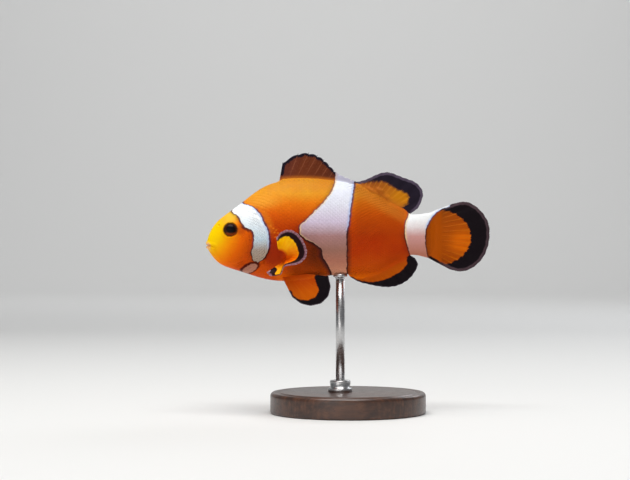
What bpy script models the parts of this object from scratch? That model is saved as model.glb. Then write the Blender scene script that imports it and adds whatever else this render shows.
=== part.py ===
"""Life-size model of an ocellaris clownfish, held level on a small display stand.

Metres, +Z up. The snout points to -X and the left flank to -Y. The origin is on the floor, under the middle
of the fish. Outlines are in millimetres: x from the middle of the fish, z from its long axis.
"""

import math

import bmesh
import bpy
import numpy as np
from mathutils import Matrix

MM = 0.001

# ---- driving dimensions, in millimetres -------------------------------------------------------------------
TOTAL_LENGTH = 80.0
BODY_LENGTH = 62.5
AXIS_HEIGHT = 50.0
GAP = 0.3
SLIVER = 0.01
SNOUT_X = -TOTAL_LENGTH / 2
BODY_END_X = SNOUT_X + BODY_LENGTH

# Lines of the body: (distance behind the snout, value).
BACK_LINE = ((0, -2.5), (1.0, 1.4), (2.6, 3.8), (5, 5.9), (10, 9.6), (17, 14.4), (26, 15.9), (36, 15.2),
             (42, 13.8), (46, 12.0), (50, 9.7), (54.4, 7.2), (59, 6.2), (62.5, 6.7))
BELLY_LINE = ((0, -2.5), (0.8, -4.6), (3.5, -7.7), (10, -10.2), (20, -12.7), (29, -12.1), (35, -11.2),
              (41, -10.8), (49, -9.3), (55.5, -5.9), (59, -5.4), (62.5, -6.4))
HALF_WIDTH_LINE = ((0, 0.0), (0.6, 1.7), (3, 3.0), (7, 4.5), (12, 5.8), (18, 6.5), (26, 6.4), (36, 5.3),
                   (46, 3.7), (54, 2.4), (59, 1.7), (62.5, 1.1))
WIDEST_AT = 0.55            # share of the depth, from the belly up, where the body is widest
BACK_KEEL = 1.15            # over 1, the section narrows towards the back or the belly like a lens
BELLY_KEEL = 1.05
BODY_STATIONS = 38
BODY_SIDES = 28

# Cuts that part the body, as (x, z) points seen from the side.
GILL_CUT = ((-24.6, 14.0), (-22.4, -12.4))
TAIL_CUT_X = 16.4
MOUTH_LINE = ((SNOUT_X, -2.45), (-36.3, -3.35))
JAW_BACK = (-34.4, -9.5)
JAW_LEAD = 3.0              # how far the cut for the jaw starts in front of the snout
CUT_REACH = 60.0            # the cuts run this far past the fish
CUT_WIDE = 20.0
GILL_COVER_OUTLINE = ((-27.6, 5.0), (-24.2, 3.2), (-22.3, -0.8), (-22.6, -5.0), (-25.0, -8.6), (-28.6, -8.8),
                      (-30.5, -4.8), (-30.0, 1.0))
GILL_COVER_THICK = 1.3
GILL_COVER_SPAN = (0.5, 8.5)    # distances from the midplane that hold the whole cover
CORE_REACH = (4.0, 30.0)    # the stretch behind the snout that lies under the gill covers
CORE_STATIONS = 20

EYE_CENTRE = (-33.4, 3.25, 1.9)
EYE_RADIUS = 2.25
EYE_FLATTEN = 0.8

# Fins: lines of the base and of the ray tips, from the first ray to the last.
MEDIAN_THICK = (1.3, 0.6)   # thickness over a ray, at the base and at the edge
PAIRED_THICK = (1.0, 0.6)
MEMBRANE_SHARE = 0.84       # thickness between two rays, as a share of the ray's
NORMAL_REACH = 0.06

SPINY_DORSAL_BASE = ((-19.4, 14.6), (-13.6, 15.2), (-8.0, 15.0), (-2.3, 14.2), (3.0, 12.9))
SPINY_DORSAL_TIPS = ((-18.5, 20.8), (-15.3, 22.8), (-11.8, 23.5), (-8.6, 22.7), (-5.4, 20.1), (-2.9, 17.7),
                     (-0.4, 16.5), (3.4, 15.9))
SOFT_DORSAL_BASE = ((3.6, 12.7), (8.2, 10.4), (12.6, 7.9), (16.5, 5.8))
SOFT_DORSAL_TIPS = ((4.3, 15.9), (8.0, 17.4), (10.9, 18.1), (15.6, 16.6), (18.6, 15.5), (20.6, 13.7),
                    (21.2, 12.0), (20.7, 9.8), (19.6, 7.8), (18.2, 6.9))
ANAL_BASE = ((0.6, -10.3), (5.5, -9.7), (10.4, -8.1), (16.3, -4.9))
ANAL_TIPS = ((2.0, -12.6), (4.8, -13.2), (8.3, -14.2), (13.7, -14.1), (17.2, -12.2), (19.2, -9.6),
             (19.7, -7.8), (18.9, -6.3))
CAUDAL_BASE = ((22.8, 6.3), (22.8, 3.0), (22.8, -2.6), (22.8, -6.0))
CAUDAL_TIPS = ((29.6, 9.1), (33.4, 9.7), (37.3, 7.4), (39.7, 3.6), (40.0, -0.4), (38.7, -5.2), (35.3, -8.9),
               (32.0, -10.0), (28.8, -9.4))

# Paired fins: (x, distance from the midplane, z).
PELVIC_BASE = ((-18.4, 1.7, -11.6), (-16.2, 2.2, -11.4), (-13.6, 2.0, -11.5))
PELVIC_TIPS = ((-15.7, 3.6, -17.2), (-13.1, 4.3, -19.0), (-10.0, 4.7, -19.5), (-7.0, 4.5, -18.4),
               (-5.2, 3.7, -15.7), (-5.2, 2.8, -13.2), (-5.5, 2.6, -11.7))
PECTORAL_BASE = ((-19.9, 5.2, -3.0), (-18.9, 4.9, -5.0), (-19.2, 3.9, -7.6))
PECTORAL_TIPS = ((-20.0, 11.0, -0.4), (-18.4, 12.1, 1.3), (-16.2, 12.7, 1.7), (-13.9, 12.9, 0.2),
                 (-12.3, 13.2, -2.6), (-12.1, 13.8, -5.8), (-14.2, 14.5, -8.1), (-18.0, 14.4, -8.8),
                 (-20.6, 12.6, -11.2), (-22.4, 10.2, -10.1))
PECTORAL_CUP = 2.2          # how far the middle of each ray bows outwards
PELVIC_CUP = 0.5

STAND_BASE_RADIUS = 22.0
STAND_BASE_THICK = 6.0
STAND_EDGE = 1.2
STAND_SIDES = 40
ROD_X = -2.2
ROD_RADIUS = 1.25
COLLAR_RADIUS = 3.4
COLLAR_HEIGHT = 3.0
COLLAR_EDGE = 0.6
COLLAR_SIDES = 24
ROD_SIDES = 16


# ---- helpers ----------------------------------------------------------------------------------------------
def natural_spline(knots, values):
    """A function that runs smoothly through the values at the knots, and straight on past its ends."""
    knots = np.asarray(knots, float)
    values = np.asarray(values, float)
    steps = np.diff(knots)
    slopes = np.diff(values, axis=0) / (steps[:, None] if values.ndim > 1 else steps)
    system = np.eye(len(knots))
    pull = np.zeros_like(values)
    for i in range(1, len(knots) - 1):
        system[i, i - 1:i + 2] = steps[i - 1], 2 * (steps[i - 1] + steps[i]), steps[i]
        pull[i] = 6 * (slopes[i] - slopes[i - 1])
    bend = np.linalg.solve(system, pull)

    def at(where):
        i = int(np.clip(np.searchsorted(knots, where) - 1, 0, len(steps) - 1))
        step, a, b = steps[i], knots[i + 1] - where, where - knots[i]
        curved = (bend[i] * a ** 3 + bend[i + 1] * b ** 3) / (6 * step)
        from_a = (values[i] / step - bend[i] * step / 6) * a
        from_b = (values[i + 1] / step - bend[i + 1] * step / 6) * b
        return curved + from_a + from_b

    return at


def line_through(points):
    """A smooth curve through the points, for a share of 0 to 1 of its length."""
    points = np.asarray(points, float)
    lengths = np.concatenate(([0], np.cumsum(np.linalg.norm(np.diff(points, axis=0), axis=1))))
    return natural_spline(lengths / lengths[-1], points)


def along_body(line):
    """A line of the body as a function of the distance behind the snout. Its knots are square roots of that
    distance, which makes the snout round instead of pointed."""
    spots, values = zip(*line)
    curve = natural_spline(np.sqrt(spots), values)
    return lambda distance: float(curve(math.sqrt(max(distance, 0.0))))


def flat_to_space(points):
    """(x, z) points of the midplane as (x, y, z) points."""
    return [(x, 0.0, z) for x, z in points]


def clear_scene():
    for obj in list(bpy.data.objects):
        bpy.data.objects.remove(obj)


def make_collection(name):
    collection = bpy.data.collections.new(name)
    bpy.context.scene.collection.children.link(collection)
    return collection


def finish_mesh(name, shape, collection):
    """Makes a bmesh an object. Until settle() all of them are in millimetres from the fish's axis."""
    shape.normal_update()
    bmesh.ops.recalc_face_normals(shape, faces=shape.faces)
    mesh = bpy.data.meshes.new(name)
    shape.to_mesh(mesh)
    shape.free()
    obj = bpy.data.objects.new(name, mesh)
    collection.objects.link(obj)
    return obj


def make_cutter(name, shape):
    cutter = finish_mesh(name, shape, cutters)
    cutter.hide_render = True
    cutter.display_type = "WIRE"
    return cutter


def join_rings(shape, rings):
    """Faces between neighbouring rings of vertices."""
    for ring, following in zip(rings, rings[1:]):
        for i in range(len(ring)):
            after = (i + 1) % len(ring)
            shape.faces.new((ring[i], ring[after], following[after], following[i]))


def boolean(obj, cutter, operation):
    """Applies a Boolean to the object's mesh, and welds the slivers that it leaves."""
    modifier = obj.modifiers.new(operation.title(), "BOOLEAN")
    modifier.operation = operation
    modifier.object = cutter
    evaluated = obj.evaluated_get(bpy.context.evaluated_depsgraph_get())
    obj.data = bpy.data.meshes.new_from_object(evaluated)
    obj.data.name = obj.name
    obj.modifiers.clear()
    shape = bmesh.new()
    shape.from_mesh(obj.data)
    bmesh.ops.remove_doubles(shape, verts=shape.verts, dist=SLIVER)
    bmesh.ops.dissolve_degenerate(shape, edges=shape.edges, dist=SLIVER)
    shape.to_mesh(obj.data)
    shape.free()


def copy_of(obj, name):
    copy = bpy.data.objects.new(name, obj.data.copy())
    cutters.objects.link(copy)
    return copy


def into_parts(obj, material):
    """Moves a finished piece to the fish's collection and gives it its finish."""
    for holder in list(obj.users_collection):
        holder.objects.unlink(obj)
    parts.objects.link(obj)
    obj.data.materials.clear()
    obj.data.materials.append(material)
    obj.data.shade_smooth()
    obj.data.set_sharp_from_angle(angle=math.radians(40))
    return obj


def settle():
    """Turns every mesh from millimetres round the fish's axis into metres above the floor."""
    to_metres = Matrix.Scale(MM, 4) @ Matrix.Translation((0, 0, AXIS_HEIGHT))
    for obj in bpy.data.objects:
        obj.data.transform(to_metres)


def make_material(name, colour, roughness, metallic=0.0):
    material = bpy.data.materials.new(name)
    material.use_nodes = True
    shader = material.node_tree.nodes["Principled BSDF"]
    shader.inputs["Base Color"].default_value = (*colour, 1.0)
    shader.inputs["Roughness"].default_value = roughness
    shader.inputs["Metallic"].default_value = metallic
    return material


# ---- the body ---------------------------------------------------------------------------------------------
back = along_body(BACK_LINE)
belly = along_body(BELLY_LINE)
half_width = along_body(HALF_WIDTH_LINE)


def section_ring(distance, grow):
    """One cross-section of the body, from the widest point of the right side over the back, and grown."""
    top, bottom = back(distance), belly(distance)
    widest = bottom + WIDEST_AT * (top - bottom)
    ring = []
    for i in range(BODY_SIDES):
        angle = 2 * math.pi * i / BODY_SIDES
        across, up = math.cos(angle), math.sin(angle)
        keel = BACK_KEEL if up > 0 else BELLY_KEEL
        reach = (top - widest) if up > 0 else (widest - bottom)
        y = half_width(distance) * math.copysign(abs(across) ** keel, across)
        ring.append((SNOUT_X + distance, y + grow * across, widest + (reach + grow) * up))
    return ring


def body_shape(grow=0.0):
    """The whole body without fins, from the snout to the end of the tail stalk."""
    shape = bmesh.new()
    rings = []
    for i in range(1, BODY_STATIONS + 1):
        share = i / BODY_STATIONS
        distance = BODY_LENGTH * (0.55 * share ** 2 + 0.45 * share)
        rings.append([shape.verts.new(p) for p in section_ring(distance, grow)])
    join_rings(shape, rings)
    for vertex in rings[-1]:
        vertex.co.x += grow
    shape.faces.new(rings[-1])
    snout = shape.verts.new((SNOUT_X - grow, 0, back(0)))
    first = rings[0]
    for i in range(BODY_SIDES):
        shape.faces.new((snout, first[(i + 1) % BODY_SIDES], first[i]))
    return shape


def core_shape(depth):
    """What is left of the cheeks and shoulders under a skin of the given depth."""
    shape = bmesh.new()
    first, last = CORE_REACH
    rings = []
    for i in range(CORE_STATIONS + 1):
        distance = first + (last - first) * i / CORE_STATIONS
        rings.append([shape.verts.new(p) for p in section_ring(distance, -depth)])
    join_rings(shape, rings)
    shape.faces.new(rings[0])
    shape.faces.new(rings[-1])
    return shape


def side_prism(outline, near, far, grow=0.0):
    """A solid with the outline seen from the side, from one distance off the midplane to another."""
    middle = np.mean(outline, axis=0)
    shape = bmesh.new()
    rings = []
    for y in (near, far):
        ring = []
        for point in outline:
            outwards = np.asarray(point) - middle
            x, z = np.asarray(point) + grow * outwards / np.linalg.norm(outwards)
            ring.append(shape.verts.new((x, y, z)))
        rings.append(ring)
    join_rings(shape, rings)
    shape.faces.new(rings[0])
    shape.faces.new(rings[1])
    return shape


def smooth_outline(points, count=28):
    """Points on a smooth closed curve through the given ones."""
    lead = 3
    wrapped = list(points[-lead:]) + list(points) + list(points[:lead])
    curve = natural_spline(range(len(wrapped)), wrapped)
    return [tuple(curve(lead + len(points) * i / count)) for i in range(count)]


def region_in_front(line):
    """Outline, seen from the side, of all that lies in front of a cut."""
    (top_x, top_z), (low_x, low_z) = line
    lean = (low_x - top_x) / (low_z - top_z)
    high_x = top_x + lean * (CUT_REACH - top_z)
    under_x = low_x - lean * (CUT_REACH + low_z)
    return ((-CUT_REACH, CUT_REACH), (high_x, CUT_REACH), (under_x, -CUT_REACH), (-CUT_REACH, -CUT_REACH))


def region_behind(x):
    return ((x, CUT_REACH), (CUT_REACH, CUT_REACH), (CUT_REACH, -CUT_REACH), (x, -CUT_REACH))


def jaw_region():
    """Outline of the lower jaw: below the mouth line, in front of its hinge."""
    (front_x, front_z), corner = MOUTH_LINE
    slope = (corner[1] - front_z) / (corner[0] - front_x)
    before_lip = (front_x - JAW_LEAD, front_z - JAW_LEAD * slope)
    return (before_lip, corner, JAW_BACK, (front_x - JAW_LEAD, JAW_BACK[1] - JAW_LEAD))


def moved_line(line, by):
    return tuple((x + by, z) for x, z in line)


def sided(name, side):
    """The name of a piece of a pair. The left side is the one at -Y."""
    return name + ("_left" if side < 0 else "_right")


def eye_ball(side, grow=0.0):
    """A ball flattened between its poles, which point outwards."""
    shape = bmesh.new()
    bmesh.ops.create_uvsphere(shape, u_segments=16, v_segments=8, radius=EYE_RADIUS + grow)
    x, y, z = EYE_CENTRE
    for vertex in shape.verts:
        across, up, out = vertex.co
        vertex.co = (x + across, side * (y + EYE_FLATTEN * out), z + up)
    return shape


def make_gill_cover(side):
    """A thin plate on the side of the head, and the cutter that clears its place."""
    outline = smooth_outline(GILL_COVER_OUTLINE)
    inner, outer = (side * y for y in GILL_COVER_SPAN)
    plate = finish_mesh(sided("gill_cover", side), side_prism(outline, inner, outer), cutters)
    boolean(plate, whole, "INTERSECT")
    boolean(plate, make_cutter("cut_plate_core", core_shape(GILL_COVER_THICK)), "DIFFERENCE")
    clearance = make_cutter("cut_plate_place", side_prism(outline, inner, outer, GAP))
    boolean(clearance, make_cutter("cut_place_core", core_shape(GILL_COVER_THICK + GAP)), "DIFFERENCE")
    return plate, clearance


def through_cut(name, outline, grow=0.0):
    return make_cutter(name, side_prism(outline, -CUT_WIDE, CUT_WIDE, grow))


def make_body():
    """Parts the body into head, lower jaw, gill covers, trunk and tail stalk, and sets the eyes."""
    head = copy_of(whole, "head")
    boolean(head, through_cut("cut_head", region_in_front(GILL_CUT)), "INTERSECT")
    boolean(head, through_cut("cut_jaw_place", jaw_region(), GAP), "DIFFERENCE")
    jaw = copy_of(whole, "lower_jaw")
    boolean(jaw, through_cut("cut_jaw", jaw_region()), "INTERSECT")
    trunk = copy_of(whole, "trunk")
    boolean(trunk, through_cut("cut_front", region_in_front(moved_line(GILL_CUT, GAP))), "DIFFERENCE")
    boolean(trunk, through_cut("cut_rear", region_behind(TAIL_CUT_X - GAP)), "DIFFERENCE")
    stalk = copy_of(whole, "tail_stalk")
    boolean(stalk, through_cut("cut_stalk", region_behind(TAIL_CUT_X)), "INTERSECT")

    for side in (-1, 1):
        cover, clearance = make_gill_cover(side)
        boolean(head, clearance, "DIFFERENCE")
        boolean(trunk, clearance, "DIFFERENCE")
        into_parts(cover, orange)
        boolean(head, make_cutter("cut_socket", eye_ball(side, GAP)), "DIFFERENCE")
        into_parts(finish_mesh(sided("eye", side), eye_ball(side), cutters), eye_black)
    into_parts(head, yellow)
    into_parts(jaw, yellow)
    into_parts(trunk, orange)
    into_parts(stalk, white)


# ---- the fins ---------------------------------------------------------------------------------------------
def inside_body(point, grow):
    """True where a point lies in the body grown by a margin."""
    distance = point[0] - SNOUT_X
    if not 0 < distance < BODY_LENGTH + grow:
        return False
    distance = min(distance, BODY_LENGTH)
    top, bottom = back(distance), belly(distance)
    widest = bottom + WIDEST_AT * (top - bottom)
    reach = (top - widest if point[2] > widest else widest - bottom) + grow
    up = (point[2] - widest) / reach
    if abs(up) >= 1:
        return False
    across = math.sqrt(1 - up * up)
    keel = BACK_KEEL if up > 0 else BELLY_KEEL
    return abs(point[1]) < half_width(distance) * across ** keel + grow * across


def fin_surface(base, tips, cup=0.0):
    """Middle surface of a fin: the point at a share along its base and a share out along its rays."""
    base_line, tip_line = line_through(base), line_through(tips)

    def point(share, out):
        root, tip = base_line(share), tip_line(share)
        return root + (tip - root) * out + np.array((0, cup * 4 * out * (1 - out), 0))

    return point


def fin_normal(surface, share, out):
    """Direction square to a fin, taken over a stretch wide enough to stay steady at its base."""
    along = surface(min(share + NORMAL_REACH, 1), out) - surface(max(share - NORMAL_REACH, 0), out)
    outwards = surface(share, min(out + NORMAL_REACH, 1)) - surface(share, max(out - NORMAL_REACH, 0))
    normal = np.cross(along, outwards)
    return normal / np.linalg.norm(normal)


def fin_face_point(surface, share, out, way, thickness, ray):
    """A point on one face of a fin, which thins towards its edge and between its rays."""
    at_base, at_edge = thickness
    thick = (at_base + (at_edge - at_base) * math.sqrt(out)) * (1 if ray else MEMBRANE_SHARE)
    return surface(share, out) + way * fin_normal(surface, share, out) * thick / 2


def first_clear(face_point):
    """How far out along a ray its face leaves the body with a gap, found by halving."""
    low, high = 0.0, 1.0
    for _ in range(18):
        middle = (low + high) / 2
        if inside_body(face_point(middle), GAP):
            low = middle
        else:
            high = middle
    return high


def fin_shape(surface, rays, rows, thickness):
    """A closed plate with a raised rib for each ray, from just clear of the body to the tips of the rays."""
    columns = 2 * rays - 1
    shape = bmesh.new()
    faces = []
    for way in (1, -1):
        face = []
        for i in range(columns):
            def face_point(out, share=i / (columns - 1), way=way, ray=i % 2 == 0):
                return fin_face_point(surface, share, out, way, thickness, ray)

            start = first_clear(face_point)
            steps = [start + (1 - start) * j / rows for j in range(rows + 1)]
            face.append([shape.verts.new(face_point(out)) for out in steps])
        faces.append(face)
    for face in faces:
        for i in range(columns - 1):
            for j in range(rows):
                shape.faces.new((face[i][j], face[i + 1][j], face[i + 1][j + 1], face[i][j + 1]))
    rim = [(i, 0) for i in range(columns)] + [(columns - 1, j) for j in range(1, rows + 1)]
    rim += [(i, rows) for i in range(columns - 2, -1, -1)] + [(0, j) for j in range(rows - 1, 0, -1)]
    for (i, j), (k, m) in zip(rim, rim[1:] + rim[:1]):
        shape.faces.new((faces[0][i][j], faces[0][k][m], faces[1][k][m], faces[1][i][j]))
    bmesh.ops.triangulate(shape, faces=shape.faces)
    return shape


def make_fin(name, base, tips, rays, rows, material, thickness=MEDIAN_THICK, cup=0.0):
    surface = fin_surface(base, tips, cup)
    return into_parts(finish_mesh(name, fin_shape(surface, rays, rows, thickness), cutters), material)


def make_median_fin(name, base, tips, rays, rows, material):
    make_fin(name, flat_to_space(base), flat_to_space(tips), rays, rows, material)


def make_paired_fin(name, side, base, tips, rays, rows, cup):
    base = [(x, side * y, z) for x, y, z in base]
    tips = [(x, side * y, z) for x, y, z in tips]
    make_fin(sided(name, side), base, tips, rays, rows, orange_fin, PAIRED_THICK, side * cup)


def make_fins():
    make_median_fin("dorsal_fin_front", SPINY_DORSAL_BASE, SPINY_DORSAL_TIPS, 11, 3, brown)
    make_median_fin("dorsal_fin_rear", SOFT_DORSAL_BASE, SOFT_DORSAL_TIPS, 14, 4, orange_fin)
    make_median_fin("anal_fin", ANAL_BASE, ANAL_TIPS, 12, 4, orange_fin)
    make_median_fin("caudal_fin", CAUDAL_BASE, CAUDAL_TIPS, 15, 4, orange_fin)
    for side in (-1, 1):
        make_paired_fin("pectoral_fin", side, PECTORAL_BASE, PECTORAL_TIPS, 12, 5, PECTORAL_CUP)
        make_paired_fin("pelvic_fin", side, PELVIC_BASE, PELVIC_TIPS, 8, 5, PELVIC_CUP)


# ---- the stand --------------------------------------------------------------------------------------------
def turned(radius, bottom, top, x, segments):
    """A closed cylinder between two heights over the floor."""
    shape = bmesh.new()
    made = bmesh.ops.create_cone(shape, cap_ends=True, segments=segments, radius1=radius, radius2=radius,
                                 depth=top - bottom)
    for vertex in made["verts"]:
        vertex.co.x += x
        vertex.co.z += (bottom + top) / 2 - AXIS_HEIGHT
    return shape


def round_edges(obj, width, segments):
    edge = obj.modifiers.new("Edge", "BEVEL")
    edge.width = width * MM
    edge.segments = segments


def make_stand():
    """A round wooden foot, and a steel rod in a collar, up to the belly."""
    shape = turned(STAND_BASE_RADIUS, 0, STAND_BASE_THICK, 0, STAND_SIDES)
    round_edges(into_parts(finish_mesh("stand_base", shape, cutters), wood), STAND_EDGE, 3)

    collar_bottom = STAND_BASE_THICK + GAP
    collar_top = collar_bottom + COLLAR_HEIGHT
    shape = turned(COLLAR_RADIUS, collar_bottom, collar_top, ROD_X, COLLAR_SIDES)
    round_edges(into_parts(finish_mesh("stand_collar", shape, cutters), steel), COLLAR_EDGE, 2)

    shape = turned(ROD_RADIUS, collar_top + GAP, AXIS_HEIGHT, ROD_X, ROD_SIDES)
    rod = finish_mesh("stand_rod", shape, cutters)
    boolean(rod, clearance_body, "DIFFERENCE")
    into_parts(rod, steel)


clear_scene()
parts = make_collection("clownfish")
cutters = make_collection("cutters")
orange = make_material("orange_skin", (0.75, 0.19, 0.01), 0.45)
yellow = make_material("yellow_skin", (0.85, 0.36, 0.01), 0.45)
white = make_material("white_skin", (0.82, 0.84, 0.88), 0.45)
orange_fin = make_material("orange_fin", (0.62, 0.17, 0.01), 0.45)
brown = make_material("brown_fin", (0.14, 0.05, 0.02), 0.5)
eye_black = make_material("eye", (0.01, 0.008, 0.01), 0.08)
wood = make_material("stand_wood", (0.05, 0.025, 0.012), 0.4)
steel = make_material("stand_steel", (0.6, 0.6, 0.6), 0.3, 1.0)
whole = make_cutter("cut_whole_body", body_shape())
clearance_body = make_cutter("cut_body_clearance", body_shape(GAP))
make_body()
make_fins()
make_stand()
settle()
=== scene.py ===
"""Looks of a life-size clownfish, held level over a round wooden foot by one steel rod.

Shapes are worked out in millimetres from the middle of the fish's long axis: x towards the tail, y towards its
right side, z up. in_place() turns them into metres in the frame's own axes.
"""

import math
from dataclasses import dataclass

import bmesh
import bpy
import numpy as np
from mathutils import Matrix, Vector


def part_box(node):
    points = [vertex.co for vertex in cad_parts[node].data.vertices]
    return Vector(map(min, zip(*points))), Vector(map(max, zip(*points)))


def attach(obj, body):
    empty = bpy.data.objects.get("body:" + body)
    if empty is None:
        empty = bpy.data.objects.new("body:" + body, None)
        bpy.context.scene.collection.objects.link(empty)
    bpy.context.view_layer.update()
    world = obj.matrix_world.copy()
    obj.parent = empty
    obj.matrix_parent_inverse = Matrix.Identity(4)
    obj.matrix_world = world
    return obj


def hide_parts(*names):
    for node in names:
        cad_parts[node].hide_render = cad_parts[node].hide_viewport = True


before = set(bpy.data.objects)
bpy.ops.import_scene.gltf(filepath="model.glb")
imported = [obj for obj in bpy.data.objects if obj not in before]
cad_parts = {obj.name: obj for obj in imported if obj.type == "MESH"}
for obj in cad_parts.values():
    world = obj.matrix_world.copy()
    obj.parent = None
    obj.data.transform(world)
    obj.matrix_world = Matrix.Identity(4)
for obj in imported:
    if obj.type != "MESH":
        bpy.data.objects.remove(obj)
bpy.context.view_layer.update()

# ---- where the fish is --------------------------------------------------------------------------------------
MM = 0.001
BODY = "root"
SIDES = ((-1, "_left"), (1, "_right"))
EYE_HEIGHT = 1.9            # the eyes' centres over the long axis
head_low, head_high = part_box("head")
tail_low, tail_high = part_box("caudal_fin")
eye_low, eye_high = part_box("eye_left")
foot_low, foot_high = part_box("stand_base")
collar_low, collar_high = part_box("stand_collar")
rod_low, rod_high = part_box("stand_rod")
AXIS = np.array(((head_low.x + tail_high.x) / 2, 0, (eye_low.z + eye_high.z) / 2 - EYE_HEIGHT * MM))
SNOUT_X = (head_low.x - AXIS[0]) / MM

# ---- lines of the body: (distance behind the snout, value) --------------------------------------------------
BACK_LINE = ((0, -2.5), (1.0, 1.4), (2.6, 3.8), (5, 5.9), (10, 9.6), (17, 14.4), (26, 15.9), (36, 15.2),
             (42, 13.8), (46, 12.0), (50, 9.7), (54.4, 7.2), (59, 6.2), (62.5, 6.6), (65.5, 6.7))
BELLY_LINE = ((0, -2.5), (0.8, -4.6), (3.5, -7.7), (10, -10.2), (20, -12.7), (29, -12.1), (35, -11.2),
              (41, -10.8), (49, -9.3), (55.5, -5.9), (59, -5.4), (62.5, -6.2), (65.5, -6.6))
HALF_WIDTH_LINE = ((0, 0.0), (0.6, 1.7), (3, 3.0), (7, 4.5), (12, 5.8), (18, 6.5), (26, 6.4), (36, 5.3),
                   (46, 3.7), (54, 2.4), (59, 1.7), (62.5, 1.0), (65.5, 0.25))
BODY_LENGTH = 65.5          # as far as the body goes on inside the tail fin
WIDEST_AT = 0.55
BACK_KEEL = 1.15
BELLY_KEEL = 1.05
SKIN_DEPTH = 0.08           # how far the skin lies under the outer surface of the scales
ROUND_SNOUT = 4.0           # over this stretch the sections crowd together towards the snout
SNOUT_SECTIONS = 44
BODY_SECTIONS = 215
SKIN_SIDES = 216

EYE_CENTRE = (-33.1, 3.25, EYE_HEIGHT - 0.1)
EYE_SPOT = EYE_CENTRE[::2]  # in the side view
EYE_RADIUS = 2.06
EYE_STRETCH = (0.97, 0.86)  # along the fish and upwards
EYE_FLATTEN = 0.8

# Folds and edges of the head, as (x, z) points on its side.
GILL_EDGE = ((-26.6, 6.4), (-24.2, 4.4), (-22.5, 1.2), (-22.0, -2.0), (-22.6, -5.2), (-24.6, -8.0),
             (-28.0, -9.9), (-31.5, -9.6))
CHEEK_EDGE = ((-29.6, 3.4), (-28.2, 0.6), (-27.9, -2.6), (-28.8, -5.6), (-31.2, -7.6), (-34.0, -7.7))
MOUTH_LINE = ((-40.6, -2.5), (-39.4, -2.6), (-38.2, -2.9), (-37.0, -3.4))
NOSTRIL = (-36.5, 3.0)
PECTORAL_ROOT = (-17.6, -5.0)
GILL_COVER = (0.34, 4.0)    # height of a plate's free edge, and the length over which it fades in front
CHEEK_PLATE = (0.15, 2.2)
MOUTH_DEPTH = (0.18, 0.42)  # of the slit, and how much deeper it is at the tip
LIP_SWELL = 0.3
NOSTRIL_RIM = 0.1
NOSTRIL_DEPTH = 0.4
SOCKET_EDGE = 0.2           # height of the skin round the eye, and depth of the hollow that the eye sits in
SOCKET_DEPTH = 1.3
PECTORAL_SWELL = 0.45
# Fleshy bases of the fins on the midline: from x to x, and how far each stands out of the back or the belly.
FIN_BASES = ((-20.5, 3.0, 0.75), (0.5, 18.0, 1.45), (0.2, 17.8, -1.5))
BASE_SPREAD = 0.85


# ---- small helpers ------------------------------------------------------------------------------------------
def natural_spline(knots, values):
    """A function that runs smoothly through the values at the knots. It takes a number or an array."""
    knots = np.asarray(knots, float)
    values = np.asarray(values, float)
    flat = values.reshape(len(knots), -1)
    steps = np.diff(knots)
    slopes = np.diff(flat, axis=0) / steps[:, None]
    system = np.eye(len(knots))
    pull = np.zeros_like(flat)
    for i in range(1, len(knots) - 1):
        system[i, i - 1:i + 2] = steps[i - 1], 2 * (steps[i - 1] + steps[i]), steps[i]
        pull[i] = 6 * (slopes[i] - slopes[i - 1])
    bend = np.linalg.solve(system, pull)

    def at(where):
        where = np.asarray(where, float)
        i = np.clip(np.searchsorted(knots, where) - 1, 0, len(steps) - 1)
        step = steps[i][..., None]
        a = (knots[i + 1] - where)[..., None]
        b = (where - knots[i])[..., None]
        found = (bend[i] * a ** 3 + bend[i + 1] * b ** 3) / (6 * step)
        found = found + (flat[i] / step - bend[i] * step / 6) * a
        found = found + (flat[i + 1] / step - bend[i + 1] * step / 6) * b
        return found[..., 0] if values.ndim == 1 else found

    return at


def line_through(points):
    """A smooth curve through the points, for a share of 0 to 1 of its length."""
    points = np.asarray(points, float)
    lengths = np.concatenate(([0], np.cumsum(np.linalg.norm(np.diff(points, axis=0), axis=1))))
    return natural_spline(lengths / lengths[-1], points)


def along_body(line):
    """A line of the body as a function of the distance behind the snout, round at the snout."""
    spots, values = zip(*line)
    curve = natural_spline(np.sqrt(spots), values)
    return lambda distance: curve(np.sqrt(np.maximum(distance, 0)))


back = along_body(BACK_LINE)
belly = along_body(BELLY_LINE)
half_width = along_body(HALF_WIDTH_LINE)


def eased(value, low, high):
    """0 below low, 1 above high, and smooth between."""
    share = np.clip((value - low) / (high - low), 0, 1)
    return share * share * (3 - 2 * share)


def hump(value, width):
    """A smooth bump of height 1 round zero."""
    return np.exp(-(value / width) ** 2)


def in_place(points):
    """Millimetres round the fish's axis as metres in the frame."""
    return np.asarray(points, float) * MM + AXIS


def placed(name, data):
    """A new object in the scene."""
    obj = bpy.data.objects.new(name, data)
    bpy.context.scene.collection.objects.link(obj)
    return obj


def outward_mesh(name, points, faces, edges=()):
    """A smooth-shaded mesh with its faces turned outwards."""
    mesh = bpy.data.meshes.new(name)
    mesh.from_pydata(points.tolist(), list(edges), faces)
    shape = bmesh.new()
    shape.from_mesh(mesh)
    bmesh.ops.recalc_face_normals(shape, faces=shape.faces)
    shape.to_mesh(mesh)
    shape.free()
    mesh.shade_smooth()
    return mesh


def make_mesh(name, points, faces, material=None, edges=()):
    """A mesh object of points in millimetres round the fish's axis."""
    obj = placed(name, outward_mesh(name, in_place(points), faces, edges))
    if material:
        obj.data.materials.append(material)
    return obj


def quads_of(grid):
    """Faces of a grid of point numbers."""
    corners = grid[:-1, :-1], grid[1:, :-1], grid[1:, 1:], grid[:-1, 1:]
    return np.stack(corners, axis=-1).reshape(-1, 4).tolist()


def ring_faces(rings):
    """Faces between rings of point numbers, each closed in itself."""
    return quads_of(np.hstack((rings, rings[:, :1])))


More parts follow.
